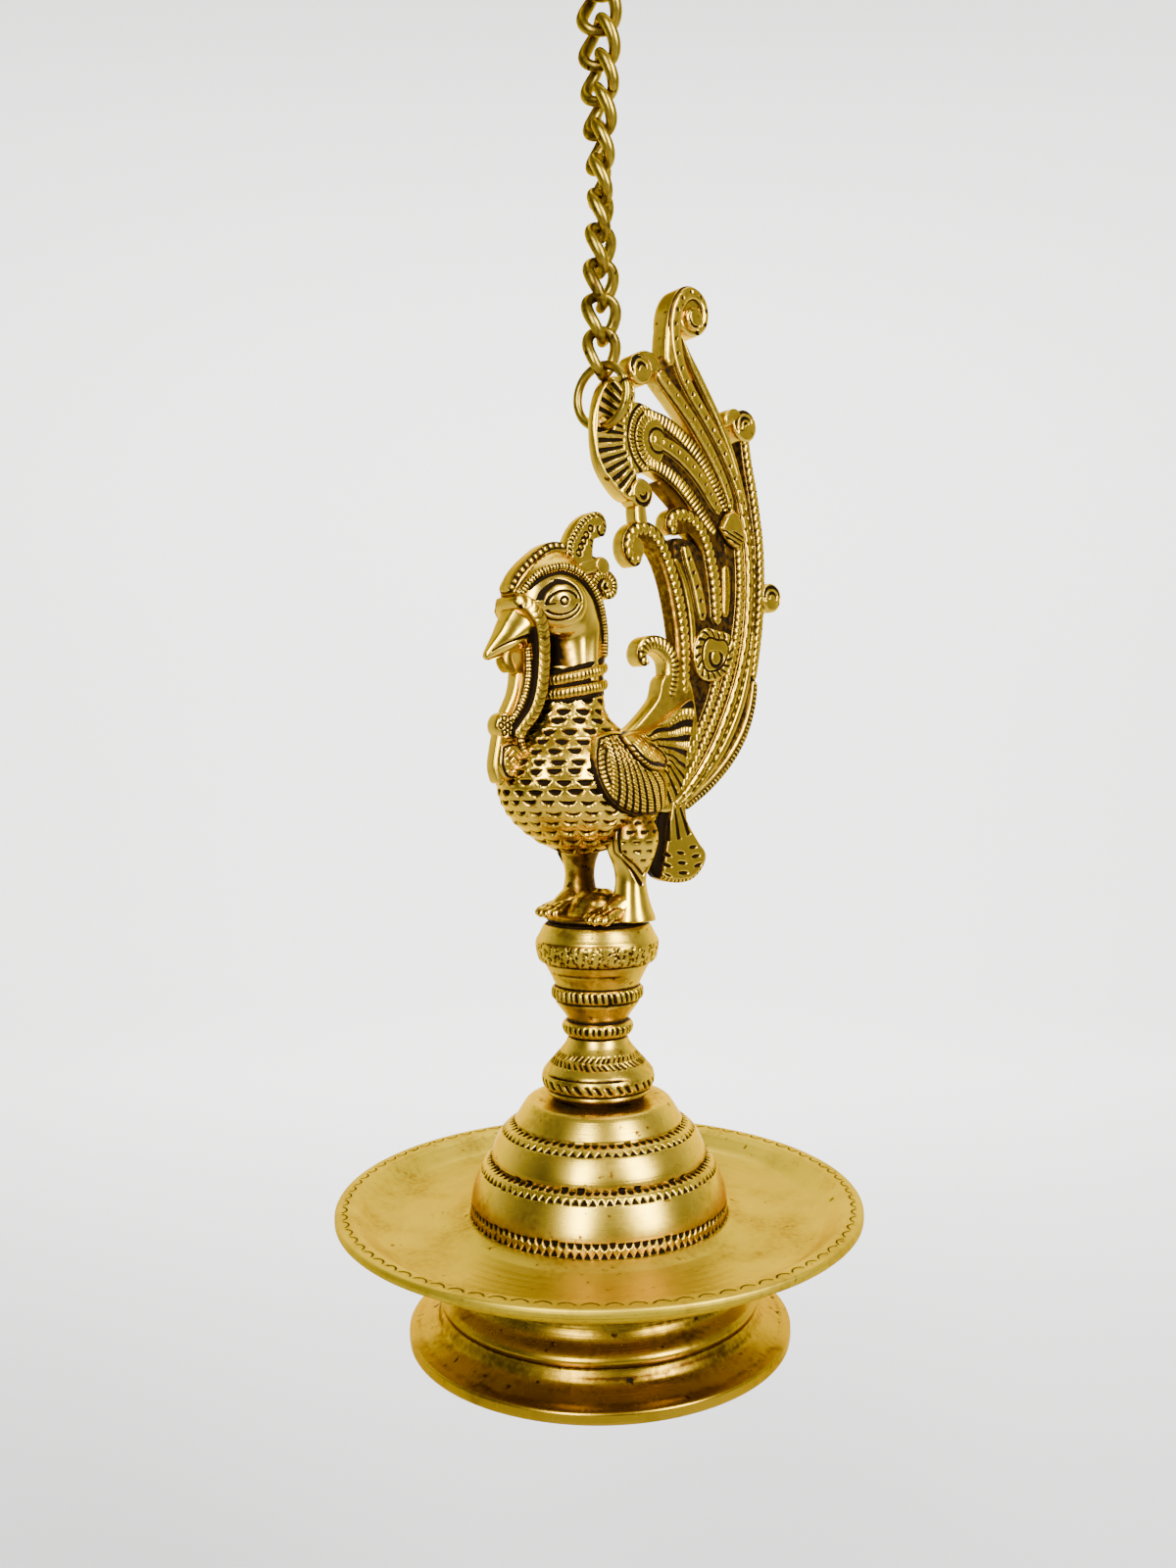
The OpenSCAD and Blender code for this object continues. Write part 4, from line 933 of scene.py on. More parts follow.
bar(fan, [[23.4, 128.2, 1.2], [29.4, 124.6, 1.6], [35, 120.2, 1.6], [40, 116.4, 1.4]], 2.3, step=0.8, face=5,
    patina=0.45)
bar(fan, [[15, 161.4, 2.8], [19, 162.4, 3.4], [24, 162.0, 2.8]], 2.8, step=0.6, face=7)
bar(fan, [[15.8, 121, 2.2], [16.8, 114, 2.4]], 2.6, step=0.6, face=7)
scroll(fan, 16.0, 159.7, 4.6, 3.3, arcs(4.6, (0.78, 0.34), 0.1, 3.6, 0.75))
scroll(fan, 16.2, 123.8, 4.4, 3.2, arcs(4.4, (0.74, 0.30), 3.4, 3.4, 0.75))
scroll(fan, 59.8, 150.2, 5.1, 3.5, arcs(5.1, (0.84, 0.48, 0.14), 0.5, 3.2, 0.62))
bar(fan, [[51.5, 150, 2], [54.6, 152.6, 2.2], [57.8, 153, 2.4]], 3.1, step=0.6, face=7)
scroll(fan, 72.0, 97.4, 4.7, 3.1, arcs(4.7, (0.74, 0.34), 5.6, 4.2, 0.65))


def drop_cuts(x, z, edge, angle):
    """A smooth drop whose lower half is hatched."""
    dark = cut(saw((z + 0.35 * x) / 1.5), 0.3) * (z < 116.5) * (edge > 0.5) + np.clip(1 - edge / 0.5, 0, 1)
    return -0.4 * dark, np.clip(0.9 * dark, 0, 1)


for side in (-1, 1):
    lens(fan, [[47.3, 117], [50.2, 121.6], [54.4, 123.0], [57.4, 119.2], [58.4, 114.2], [55.6, 111.2], [51.4, 112.8]],
         (53.0, 117.2), flat_skin(2.5), 2.0, drop_cuts, side, rows=24, sides=120)
webs.make("tail_web", "lamp", "brass", cast_brass, "tail_plume")
strands.make("tail_strands", "lamp", "brass", cast_brass, "tail_plume")

# %% Tail: root and tuft
def tuft_cuts(x, z, edge, angle):
    """Slots that fan out downward from the tuft's neck, slanted almond punches below, and at the left a step
    that is sunk and painted near black as painted shade.
    """
    dx, dz = x - 27.0, z - 40.0
    far, way = np.hypot(dx, dz), np.arctan2(dx, -dz)
    slot = np.clip((0.22 - saw(way * 4.2 + 0.3)) / 0.08, 0, 1) * (far > 8) * (far < 18.5)
    u, v = way * 4.2 + 0.3, (far - 22.6) / 3.1
    u, v = u - np.round(u), v - np.round(v)
    mark = np.clip(2.2 - 2.2 * (u ** 2 / 0.1 + (v - 0.5 * u) ** 2 / 0.045), 0, 1) * (far > 20.8) * (far < 30)
    hem = cut(saw(angle * 7), 0.25) * (edge < 1.2) * (z < 16)
    # painted shade: the left part of the tuft is sunk and painted near black
    step = np.clip((23.4 + 0.19 * (z - 10.0) - x) / 0.8, 0, 1)
    dark = np.maximum(np.maximum(slot, mark * (edge > 1.5)), 0.7 * hem) * (1 - step)
    return -0.6 * dark - 1.4 * step, np.maximum(dark, step * (0.88 + 0.1 * np.sin(1.1 * x + 0.8 * z)))


def root_stain(x, z, edge, angle):
    """Stain toward the rear of the root, broken up by a sine of the height."""
    return 0.0 * x, 0.3 * np.clip((x - 25) / 6, 0, 1) * (0.7 + 0.3 * np.sin(0.9 * z))


plate(fan, [[3, 53], [11, 54.8], [17, 59.2], [22.4, 64.8], [25, 71], [35, 71], [39, 50], [33, 34], [26, 30],
            [18, 33], [9, 41]], (22, 50), 2.9, root_stain, rows=30, sides=200)
plate(fan, [[25, 33], [32, 34], [34, 27.5], [38.6, 21], [42, 16.6], [40.4, 12.4], [35.6, 9.2], [28.6, 8.8],
            [22.8, 10.8], [21.2, 14.4], [23.2, 22]], (30, 20), 3.0, tuft_cuts, rows=44, sides=240)
fan.make("tail_fan_and_root", "lamp", "brass", cast_brass, "tail_plume")

# %% [markdown]
# ## Body and neck
# Body and neck flow into each other, so they are one stack of level rings. A
# table gives each ring's front, rear, half width and middle. The scales are cut
# in level rows, half a step apart from row to row: black half moons on the
# breast and neck, and thin lipped crescents on the belly. Sculpting could make
# them too, but a formula gives every scale its place and can be run again.

# %% Rings of the bird's body
body_table = np.array([
    [19.8, -8.0, -4.0, 1.5, -6.0], [20.5, -12.5, 3.0, 6.0, -6.0], [22.5, -17.2, 9.0, 10.2, -6.0],
    [26.0, -22.8, 16.0, 13.9, -6.0], [30.0, -27.2, 20.0, 16.4, -6.0], [35.0, -30.6, 21.6, 18.0, -6.0],
    [40.0, -31.8, 21.4, 18.5, -6.0], [45.0, -31.0, 19.5, 17.6, -6.4], [49.0, -28.8, 16.5, 15.8, -7.0],
    [53.0, -25.6, 10.5, 13.2, -8.0], [56.0, -23.2, 4.5, 11.7, -9.0], [59.0, -21.4, 1.2, 10.7, -9.7],
    [63.0, -20.2, 0.2, 10.1, -9.9], [68.0, -20.0, 0.0, 9.9, -9.9], [76.0, -20.0, 0.4, 9.6, -9.9]])


def ring_sizes(table, z):
    """Front, rear, half width and middle of the ring at height z, from the smooth curve through the table."""
    dense = smooth_curve(table, 0.4)[1]
    return [np.interp(z, dense[:, 0], dense[:, k]) for k in range(1, 5)]


def ring_stack(table, heights, sides):
    """Level rings: x = middle + reach cos, y = half width sin, with its own reach to the front and the rear."""
    angle = np.linspace(0, 2 * np.pi, sides, endpoint=False)[None, :]
    front, rear, half, middle = [v[:, None] for v in ring_sizes(table, heights)]
    reach = np.where(np.cos(angle) > 0, rear - middle, middle - front)
    return middle + reach * np.cos(angle), half * np.sin(angle), heights[:, None] + 0 * angle, angle


def skin_of(table, least=0.0):
    """The skin's distance from the middle plane at x, z, and not less than `least`."""
    def skin(x, z):
        front, rear, half, middle = ring_sizes(table, z)
        reach = np.where(x > middle, rear - middle, middle - front)
        return np.maximum(half * np.sqrt(np.clip(1 - ((x - middle) / reach) ** 2, 0, 1)), least)
    return skin


def raised(rings, height):
    """Moves each point along the normal: the cross product of the steps along and around the rings."""
    along = np.gradient(rings, axis=0)
    around = np.roll(rings, -1, axis=1) - np.roll(rings, 1, axis=1)
    normal = np.cross(along, around)
    normal /= np.linalg.norm(normal, axis=2, keepdims=True) + 1e-9
    way = np.sign(np.sum(normal * (rings - rings.mean(axis=1, keepdims=True))))
    return rings + way * normal * np.asarray(height)[..., None]


scale_low, scale_row = 20.0, 2.75


def scales(z, angle, girth, cell=5.6):
    """In each cell a cut between two parabolas that meet at its ends: a half moon, or a thin crescent on the belly.
    A sine of the cell's number shifts it a little, as a hand would."""
    row = np.floor((z - scale_low) / scale_row)
    place = angle * np.maximum(np.round(girth / cell), 6) / (2 * np.pi) + 0.5 * (row % 2)
    number = np.floor(place)
    u = (place - number - 0.5) * cell + 0.4 * np.sin(number * 12.7 + row * 5.3)
    v = z - scale_low - (row + 0.62) * scale_row + 0.22 * np.sin(number * 7.1 + row * 3.7)
    belly = np.clip((38.0 - z) / 5.0, 0, 1)
    half = 2.25 + 0.45 * belly + 0.22 * np.sin(number * 3.3 + row)
    arch = np.clip(1 - (u / half) ** 2, 0, 1)
    low, high = -1.55 * arch, (0.30 - 0.95 * belly) * arch
    moon = np.clip(np.minimum(v - low, high - v) / 0.22, 0, 1)
    lip = np.exp(-((v - low + 0.55) / 0.5) ** 2) * arch
    return -0.95 * moon + (0.3 + 0.15 * belly) * lip, 0.98 * moon


heights = np.linspace(19.8, 72.0, 200)
x, y, z, angle = ring_stack(body_table, heights, 430)
row_middle = scale_low + scale_row * (np.floor((z - scale_low) / scale_row) + 0.5)
front, rear, half, middle = ring_sizes(body_table, row_middle)
height, dark = scales(z, angle, np.pi * (rear - front + 2 * half) / 2)
under = 0.25 * np.clip((25 - z) / 4, 0, 1)
bird = Casting()
bird.add(raised(on_lamp(x, y, z), height), np.clip(dark + under, 0, 1))
bird.make("bird_body", "lamp", "brass", cast_brass, "peacock")

# %% [markdown]
# ## Wings
# A wing is one sheet from the bird's side to the tail's root: a plain border,
# hatched bands along its front edge, then barbed feathers that turn about the
# tip of a leaf. The sheet is a lens on the skin. Each feather could be a piece
# of its own, but they were cut into one face. Thirteen guide lines, each with a
# top and an end, say where they run, and a smooth field through these guides
# numbers every point between them.

# %% Wings
wing_outline = [[-12.3, 52.6], [-15.2, 47.5], [-15.6, 41.8], [-13.0, 36.5], [-7.6, 32.3], [0.6, 29.8],
                [9.6, 29.9], [20.4, 31.7], [27.2, 35.0], [31.4, 39.5], [32.6, 43.8], [33.7, 49.3],
                [35.8, 57.0], [35.5, 64.2], [29.1, 61.3], [22.3, 57.4], [12.5, 54.4], [0.9, 54.0],
                [-6.5, 54.0]]
quill_tops = np.array([[-9.3, 53.4], [-7.2, 52.4], [-5.4, 50.9], [-3.8, 48.9], [-1.3, 46.4], [2.5, 43.3], [7.2, 41.7],
                       [12.8, 42.2], [18.7, 41.9], [21.7, 44.5], [21.1, 47.2], [17.0, 51.5], [12.9, 53.6]])
quill_ends = np.array([[-11.4, 34.7], [-8.0, 33.1], [-4.3, 31.4], [-0.4, 30.4], [3.9, 30.0], [9.1, 30.6],
                       [14.2, 31.0], [19.4, 32.0], [24.6, 34.6], [29.1, 38.4], [31.9, 42.7], [33.9, 51.5],
                       [35.2, 60.3]])
guides = np.vstack([quill_tops, (quill_tops + quill_ends) / 2, quill_ends])
order = np.array([0, 1.2, 2.4, 3.6, 4.8, 6.0, 7.2, 8.4, 9.7, 11.2, 12.9, 14.8, 16.6])
numbers = np.stack([np.tile(order, 3), np.repeat([0.0, 0.5, 1.0], len(order))], axis=1)
apart = np.linalg.norm(guides[:, None] - guides[None], axis=2)
pull = np.linalg.solve(apart, numbers)


def quill_place(x, z):
    """Quill number and share of its length at x, z: a weighted sum of the distances to the guide points,
    with weights that give each guide its own number and share."""
    far = np.hypot(x[..., None] - guides[:, 0], z[..., None] - guides[:, 1])
    both = far @ pull
    return both[..., 0], both[..., 1]


def wing_cuts(x, z, edge, angle):
    """Black cuts between the feathers at whole quill numbers, barbs across them, hatching in the front bands."""
    quill, share = quill_place(x, z)
    gap = np.clip((0.20 + 0.05 * np.clip(share, 0, 1) - saw(quill)) / 0.08, 0, 1) * (share > -0.15)
    barb = cut(saw(share * 16.0 + 0.8 * saw(quill)), 0.24) * (saw(quill) > 0.22) * (share > -0.1)
    hatch = cut(saw((z - 0.3 * x) / 1.25), 0.25) * (np.abs(edge - 3.9) > 0.5) * (edge > 1.9)
    bands = np.maximum(cut(edge - 3.9, 0.55), 0.72 * hatch)
    dark = np.where((quill < 0.15) & (x < 0), bands, np.maximum(gap, 0.56 * barb)) * np.clip((edge - 1.0) / 0.3, 0, 1)
    line = cut(edge - 1.5, 0.42) * (x < 10)
    rim = np.clip(1.7 - edge / 0.9, 0, 1) * np.clip((50 - z) / 6, 0, 1)
    dark = np.maximum(np.maximum(dark, line), rim)
    return -0.6 * dark, 0.97 * np.clip(dark, 0, 1)


def leaf_cuts(x, z, edge, angle):
    """A beaded border with a black cut inside it below, and slanted strokes on the leaf."""
    low = np.clip((51.5 - z) / 1.5, 0, 1)
    border = cut(edge - 2.1, 1.0) * low
    bead = 0.8 * cut(saw(angle * 38 / (2 * np.pi)), 0.24) * (edge < 1.4) * low
    stroke = cut(saw((x + 0.9 * z) / 2.3), 0.15) * cut(saw((z - 0.35 * x) / 2.2), 0.38) * (edge > 2.9)
    dark = np.maximum(np.maximum(border, bead), 0.85 * stroke)
    dark = np.maximum(dark, np.clip(1.2 - edge / 0.5, 0, 1))
    return -0.6 * dark, 0.97 * dark


body_skin = skin_of(body_table, 3.2)


def wing_skin(x, z):
    """The body's skin, and behind it a ramp that falls toward the rear onto the tail's face."""
    slope = 0.36 * np.clip((60.0 - z) / 14.0, 0, 1)
    ramp = 3.2 + slope * np.clip(32.0 - x, 0, 22)
    ramp = np.where(x > 0, np.minimum(ramp, body_skin(np.minimum(x, 4.0), z)), 0.0)
    return np.maximum(body_skin(x, z), ramp)


def leaf_skin(x, z):
    """The wing's own face, which lies 1.4 mm above its skin."""
    return wing_skin(x, z) + 1.4


wings = Casting()
for side in (-1, 1):
    lens(wings, wing_outline, (9.0, 43.5), wing_skin, 1.5, wing_cuts, side, rows=100, sides=620, under=None)
    lens(wings, [[-4.2, 52.8], [2, 54.2], [10, 52.8], [14.6, 50.2], [17.6, 47.4], [18, 44.7], [11.8, 42.9],
                 [4.7, 43.1], [0.4, 45.1], [-2.5, 48.4]], (7.6, 48.4), leaf_skin, 2.2, leaf_cuts, side,
         rows=44, sides=260)
wings.make("bird_wings", "lamp", "brass", cast_brass, "peacock")

# %% [markdown]
# ## Legs
# The legs are plain and satin below, with a thigh shield above that ends in a
# point and carries small scales. A shield laid over a tube would need a seam
# hidden, so each leg is a turned form with the shield raised on its outer side.
# Toes are tubes that reach forward over the foot plate.

# %% Legs, toes and foot plate
def leg_carving(side):
    """The shield: within a half angle that narrows to a point at 11 mm, with two border lines and small scales.
    Painted shade darkens each leg's inner side below 24 mm, and a painted shadow of the wing its top above 23 mm.
    """
    def carve(r, z, angle):
        off = np.abs((angle - side * np.pi / 2 + np.pi) % (2 * np.pi) - np.pi)
        inner = (1.45 * np.clip((z - 11.0) / 9.5, 0, 1) - off) * r
        inside = np.clip(inner / 0.5, 0, 1)
        border = np.maximum(cut(inner, 0.7), cut(inner - 2.1, 0.5)) * (z > 11)
        row = np.floor(z / 2.5)
        u = ((angle * r / 3.8 + 0.5 * (row % 2)) % 1 - 0.5) * 3.8
        arch = np.clip(1 - (u / 1.5) ** 2, 0, 1)
        v = z - (row + 0.55) * 2.5
        mark = np.clip(np.minimum(v + 0.9 * arch, -0.1 * arch - v) / 0.2, 0, 1) * (inner > 2.8)
        dark = np.maximum(border, 0.95 * mark)
        # painted shade on the inner side, broken up by a sine, and a painted shadow under the wing above 23 mm
        shade = 0.5 * np.clip(-1.6 * side * np.sin(angle) - 0.1 + 0.25 * np.sin(1.3 * z + 3 * angle), 0, 1) * (z < 24)
        shade = shade + 0.36 * np.clip((z - 23.0) / 2.5, 0, 1)
        return 0.6 * inside - 0.45 * dark, np.clip(0.95 * dark + shade, 0, 1)
    return carve


def tube(casting, path, radius, sides=16, patina=0.0, carve=None, upward=(0, 0, 1), step=0.5):
    """Carries a circle along the smooth curve through [x, y, z, share of the radius], ends rounded."""
    p = np.asarray(path, float)
    lengths = np.append(0, np.cumsum(np.linalg.norm(np.diff(p[:, :3], axis=0), axis=1)))
    line = smooth_curve(np.column_stack([lengths, 0 * lengths, p]), step)[1][:, 2:]
    run = np.append(0, np.cumsum(np.linalg.norm(np.diff(line[:, :3], axis=0), axis=1)))
    heading = np.gradient(line[:, :3], axis=0)
    heading /= np.linalg.norm(heading, axis=1, keepdims=True) + 1e-9
    out = np.cross(heading, np.broadcast_to(upward, heading.shape))
    out /= np.linalg.norm(out, axis=1, keepdims=True) + 1e-9
    up = np.cross(out, heading)
    r = radius * line[:, 3]
    reach = np.clip((np.minimum(run, run[-1] - run) + 0.12) / r, 0, 1)
    r = (r * np.sqrt(1 - (1 - reach) ** 2))[:, None]
    a = np.linspace(0, 2 * np.pi, sides, endpoint=False)[None, :]
    height, dark = carve(run[:, None], a) if carve else (0.0, 0.0)
    r = r + height
    across, above = (r * np.cos(a))[..., None], (r * np.sin(a))[..., None]
    rings = line[:, None, :3] + out[:, None, :] * across + up[:, None, :] * above
    casting.add(on_lamp(rings[..., 0], rings[..., 1], rings[..., 2]),
                np.clip(patina + dark * np.ones((1, sides)), 0, 1))


def toe_cuts(s, a):
    """Slanted creases across a toe."""
    dark = 0.6 * np.clip((0.16 - saw(s / 3.0 + 0.4 * np.sin(a))) / 0.08, 0, 1) * (s > 6)
    return -0.2 * dark, dark


leg_line = profile([[7.0, 1.0], [6.8, 2.2], [6.0, 4.4], [5.2, 7.0], [4.6, 10.0], [4.4, 12.5], [4.9, 16.0],
                    [6.4, 20.0], [7.3, 24.0], [6.8, 27.0], [5.2, 30.0], [3.0, 33.0]], step=0.4)
leg_x, leg_y = 3.0, 11.4
legs = Casting()
for side in (-1, 1):
    turned(legs, leg_line, 150, leg_carving(side), middle=(leg_x, leg_y * side))
    tube(legs, [[leg_x, leg_y * side, 6.4, 1.2], [-2.0, 11.2 * side, 4.4, 1.0],
                [-7.0, 11.0 * side, 2.4, 0.6]], 3.6, sides=24)
    for spread_of in (-0.45, -0.15, 0.15, 0.45):
        way = np.array([-np.cos(spread_of), np.sin(spread_of)])
        tube(legs, [[-1.0, 11.2 * side + 3.0 * way[1], 4.6, 1.0],
                    [1.0 + 6 * way[0], 11.0 * side + 5.8 * way[1], 3.6, 1.0],
                    [1.0 + 10 * way[0], 11.0 * side + 7.4 * way[1], 2.4, 1.0],
                    [1.0 + 13.2 * way[0], 11.0 * side + 8.6 * way[1], 1.6, 0.7]], 1.7, carve=toe_cuts, patina=0.03)


def plate_stain(r, z, angle):
    """Brown and rough between the legs, black below: sines of the angle and the height break it up."""
    rough = np.sin(5 * angle + 1.1 * z) * np.sin(3 * angle - 1.5 * z + 0.8 * r)
    return 0.22 * rough * ((z > 2) & (r < 9)), np.clip(0.34 + 0.14 * rough + 0.5 * (z < 0.9), 0, 1)


foot_plate = profile([[0.5, 0.1], [13.8, 0.1]], [[14.2, 0.3], [14.6, 0.7], [14.6, 1.2], [14.2, 1.6]],
                     [[13.6, 1.8], [9.0, 2.0]], [[8.2, 3.4], [6.4, 6.8], [4.4, 8.4], [2.4, 9.0], [0.4, 9.2]],
                     step=0.7)
turned(legs, foot_plate, 160, plate_stain)
legs.make("bird_legs", "lamp", "brass", cast_brass, "peacock")

# %% [markdown]
# ## Head
# The head wears a hood. It is a second stack of level rings: a round cheek that
# hollows below into the throat, with a ridge where the hood's skirt turns back.
# The crown is a bar in the middle plane, the brow a cord on each side, the
# almond eye a lens on each side, and two hatched bands go round the neck below.
# One sculpted mesh could hold all of it, but separate forms keep crisp edges.

# %% Head and hood
head_table = np.array([
    [68.0, -19.6, 0.0, 9.9, -9.8], [72.0, -19.2, 0.2, 9.6, -9.6], [76.0, -19.2, 0.4, 9.0, -9.4],
    [80.0, -21.4, 0.6, 9.0, -9.8], [84.0, -26.2, 0.4, 9.9, -12.0], [88.0, -29.2, 0.0, 10.6, -14.0],
    [91.0, -29.6, -0.8, 10.7, -14.8], [95.0, -28.0, -3.0, 9.8, -15.0], [99.0, -25.0, -5.8, 7.8, -15.0],
    [102.0, -21.6, -8.6, 5.4, -15.0], [104.0, -18.4, -11.4, 2.8, -14.8], [104.6, -16.4, -13.6, 1.0, -14.8]])
head_skin = skin_of(head_table)


def eased(share):
    """Smooth step from 0 to 1: 3 s^2 - 2 s^3."""
    return share * share * (3 - 2 * share)


def hood_carving(x, z):
    """Below the round cheek the throat hollows, and painted shade darkens it toward the strap; a ridge runs down
    the hood's skirt.
    """
    below = eased(np.clip((np.hypot((x + 18.8) * 0.92, z - 88.8) - 7.8) / 2.6, 0, 1) * (z < 87))
    fore = eased(np.clip((-10.5 + 0.12 * (z - 78) - x) / 8.0, 0, 1))
    ridge = np.exp(-((x + 7.0 - 0.15 * (z - 78)) / 1.6) ** 2) * np.clip((86.0 - z) / 5, 0, 1)
    # painted shade: the hollow throat darkens toward the strap, with a faint ripple from a sine
    dark = np.clip(1.25 * below * np.clip((-14.0 - x) / 6.5, 0, 1) + 0.08 * np.sin(1.9 * x + 1.2 * z) * fore, 0, 0.95)
    return -1.9 * below * fore + 0.5 * ridge, dark


heights = np.linspace(68.0, 104.6, 130)
x, y, z, angle = ring_stack(head_table, heights, 240)
height, dark = hood_carving(x, z)
head = Casting()
head.add(raised(on_lamp(x, y, z), height), dark)


def almond(x, z, edge, angle):
    """A thick lid arc above that thins to the rear, an inner arc, a ring for the pupil and two arcs below."""
    dx, dz = x + 19.8, z - 88.9
    u, v = dx * 0.97 + dz * 0.24, dz * 0.97 - dx * 0.24
    lid_at, lid_w = np.hypot((u + 0.2) / 5.9, v / 5.5), 1.05 - 0.11 * u
    lid = np.clip(1.4 * (1 - ((lid_at - 1) * 5.6 / lid_w) ** 2), 0, 1) * (v > 0.2 - 0.25 * u)
    upper = cut((np.hypot(u / 4.2, v / 2.9) - 1) * 3.4, 0.5) * (v > 0.1)
    tail_line = cut(v + 0.1 + 0.05 * u, 0.3) * (u < -2.0) * (u > -4.6)
    lower = (cut((np.hypot(u / 4.6, v / 3.3) - 1) * 3.8, 0.42) * (v < -1.2)
             + cut((np.hypot(u / 5.8, v / 4.7) - 1) * 5, 0.4) * (v < -1.8))
    pupil = cut(np.hypot(u - 0.2, v - 0.2) - 1.0, 0.42)
    dark = np.clip(lid + upper + lower + tail_line + pupil, 0, 1)
    return -0.42 * dark + 0.7 * np.clip(1 - np.hypot(u / 6.5, v / 5.5), 0, 1), dark


for side in (-1, 1):
    lens(head, [[-27.4, 87], [-26, 92], [-20.6, 95.8], [-14.4, 95], [-11.4, 90], [-13, 84.8], [-18, 82.2],
                [-23.6, 82.8]], (-19.6, 89.0), head_skin, 0.5, almond, side, rows=46, sides=240)

# %% Neck bands, brow and crown
turn_round = np.linspace(0, 2 * np.pi, 420, endpoint=False)[:, None]
wrap = np.linspace(0, 2 * np.pi, 16, endpoint=False)[None, :]


def neck_band(casting, z, tall, thick, out, tilt, pitch=1.1, patina=0.0):
    """A band about the neck with an oval section, `out` mm off the skin, that rises by `tilt` mm to the rear."""
    front, rear, half, middle = ring_sizes(body_table, np.array(z))
    reach_x, reach_y = (rear - front) / 2 + out, half + out
    notch = np.clip((0.28 - saw(turn_round * reach_x / pitch)) / 0.14, 0, 1)
    notch = notch * np.clip(1 - np.abs(np.sin(wrap)), 0.25, 1)
    swell = thick - 0.3 * notch
    x = (front + rear) / 2 + (reach_x + swell * np.cos(wrap)) * np.cos(turn_round)
    y = (reach_y + swell * np.cos(wrap)) * np.sin(turn_round)
    rise = z + tilt * np.cos(turn_round) + tall * np.sin(wrap)
    casting.add(on_lamp(x, y, rise), np.clip(patina + 0.8 * notch, 0, 1), loop=True)


for z, tilt in ((65.9, 1.9), (70.2, 2.4)):
    neck_band(head, z, 1.6, 1.15, 0.25, tilt)
for z, tilt in ((63.8, 1.8), (68.0, 2.1), (72.4, 2.6)):
    neck_band(head, z, 0.95, 0.75, -0.4, tilt, 60.0, 1.0)


def cord_cuts(pitch=1.0, deep=0.2):
    """Fine cuts across a cord at an even pitch."""
    def carve(s, a):
        dark = np.clip((0.27 - saw(s / pitch)) / 0.15, 0, 1)
        return -deep * dark, 0.8 * dark
    return carve


def cord(casting, path, skin, radius, pitch=1.0, sink=0.15, patina=0.0, carved=True):
    """A cord on both sides of the skin, along [x, z], sunk by a share of its radius."""
    p = np.asarray(path, float)
    lift = skin(p[:, 0], p[:, 1]) + radius * (1 - 2 * sink)
    for side in (-1, 1):
        tube(casting, np.column_stack([p[:, 0], side * lift, p[:, 1], np.ones(len(p))]), radius, 12, patina,
             cord_cuts(pitch) if carved else None, upward=(0, 1, 0), step=0.26)


brow = [[-29.2, 90.2], [-27.2, 94.0], [-23.6, 97.2], [-18.4, 98.8], [-13.4, 97.6], [-9.4, 94.4], [-6.2, 90.2],
        [-3.8, 85.6], [-1.8, 80.6], [-0.8, 75.0]]
cord(head, brow, head_skin, 1.15, 0.95)
cord(head, [[px - 0.3, pz - 1.9] for px, pz in brow[1:-1]], head_skin, 0.5, sink=0.3, patina=1.0, carved=False)
bar(head, [[-31.0, 91.6, 1.5], [-27.8, 96.4, 1.7], [-23.0, 100.8, 1.8], [-17.4, 104.4, 1.8], [-12, 105, 1.6]], 3.0,
    hatched(2.0, 0.0, 0.9, -0.1))
bar(head, [[-29.8, 90.8, 1.2], [-26.2, 94.6, 1.5], [-21.6, 98.7, 1.6], [-15.6, 101.6, 1.6]], 4.2, smooth_rib(0.74))
bar(head, [[-7.6, 99.4, 1.6], [-3.6, 95.2, 1.6], [-1.0, 90.0, 1.5], [0.2, 84.0, 1.5], [0.6, 78.0, 1.5],
           [0.6, 73.6, 1.4]], 2.9, hatched(1.0, -0.95, 0.7))
print("head surfaces:", len(head.points))

# %% [markdown]
# ## Beak, strap and garland
# The beak is a wedge with a ridge above and a mouth line on each side. A strap
# of chevrons goes over the beak's base, runs back under the eye and down to the
# breast, with two narrower strips before it, a rosette and a pendant. Straps
# laid on the skin would sink into it, so they are bars through the whole head.

# %% Beak
def mouth(s, a, w):
    """The cut between the two halves of the beak runs from below at the cheek to above at the tip; the lower
    half lies a little deeper."""
    at = a - 0.96 + 0.08 * s
    dark = cut(at, 0.13) * (s > 2) * (s < 17.5)
    return -0.5 * dark - 0.4 * np.clip(at / 0.1, 0, 1) * (s > 2), 0.95 * dark


bar(head, [[-23.4, 86.0, 7.0, 5.8], [-26.7, 82.9, 6.0, 5.6], [-29.4, 80.6, 4.8, 4.8], [-31.9, 78.4, 3.7, 3.9],
           [-35.2, 75.9, 2.3, 2.5], [-38.2, 73.6, 1.0, 1.2]], carve=mouth, face=31, crown=0.5, step=0.35)
bar(head, [[-31.4, 76.0, 1.2], [-31.8, 73.0, 1.7], [-29.8, 70.4, 1.4]], 2.2, patina=0.3)
print("beak gathered:", len(head.points))

# %% Strap, strips, rosette and pendant
def strap_lines(s, a, w):
    """Fine V lines across the strap and a dark line along each edge."""
    vee = cut(saw(s / 2.0 + 0.5 * np.abs(a)), 0.16) * (np.abs(a) < 0.8)
    side = np.clip((np.abs(a) - 0.84) / 0.08, 0, 1)
    dark = np.maximum(0.55 * vee, 0.9 * side)
    return -0.22 * dark, dark


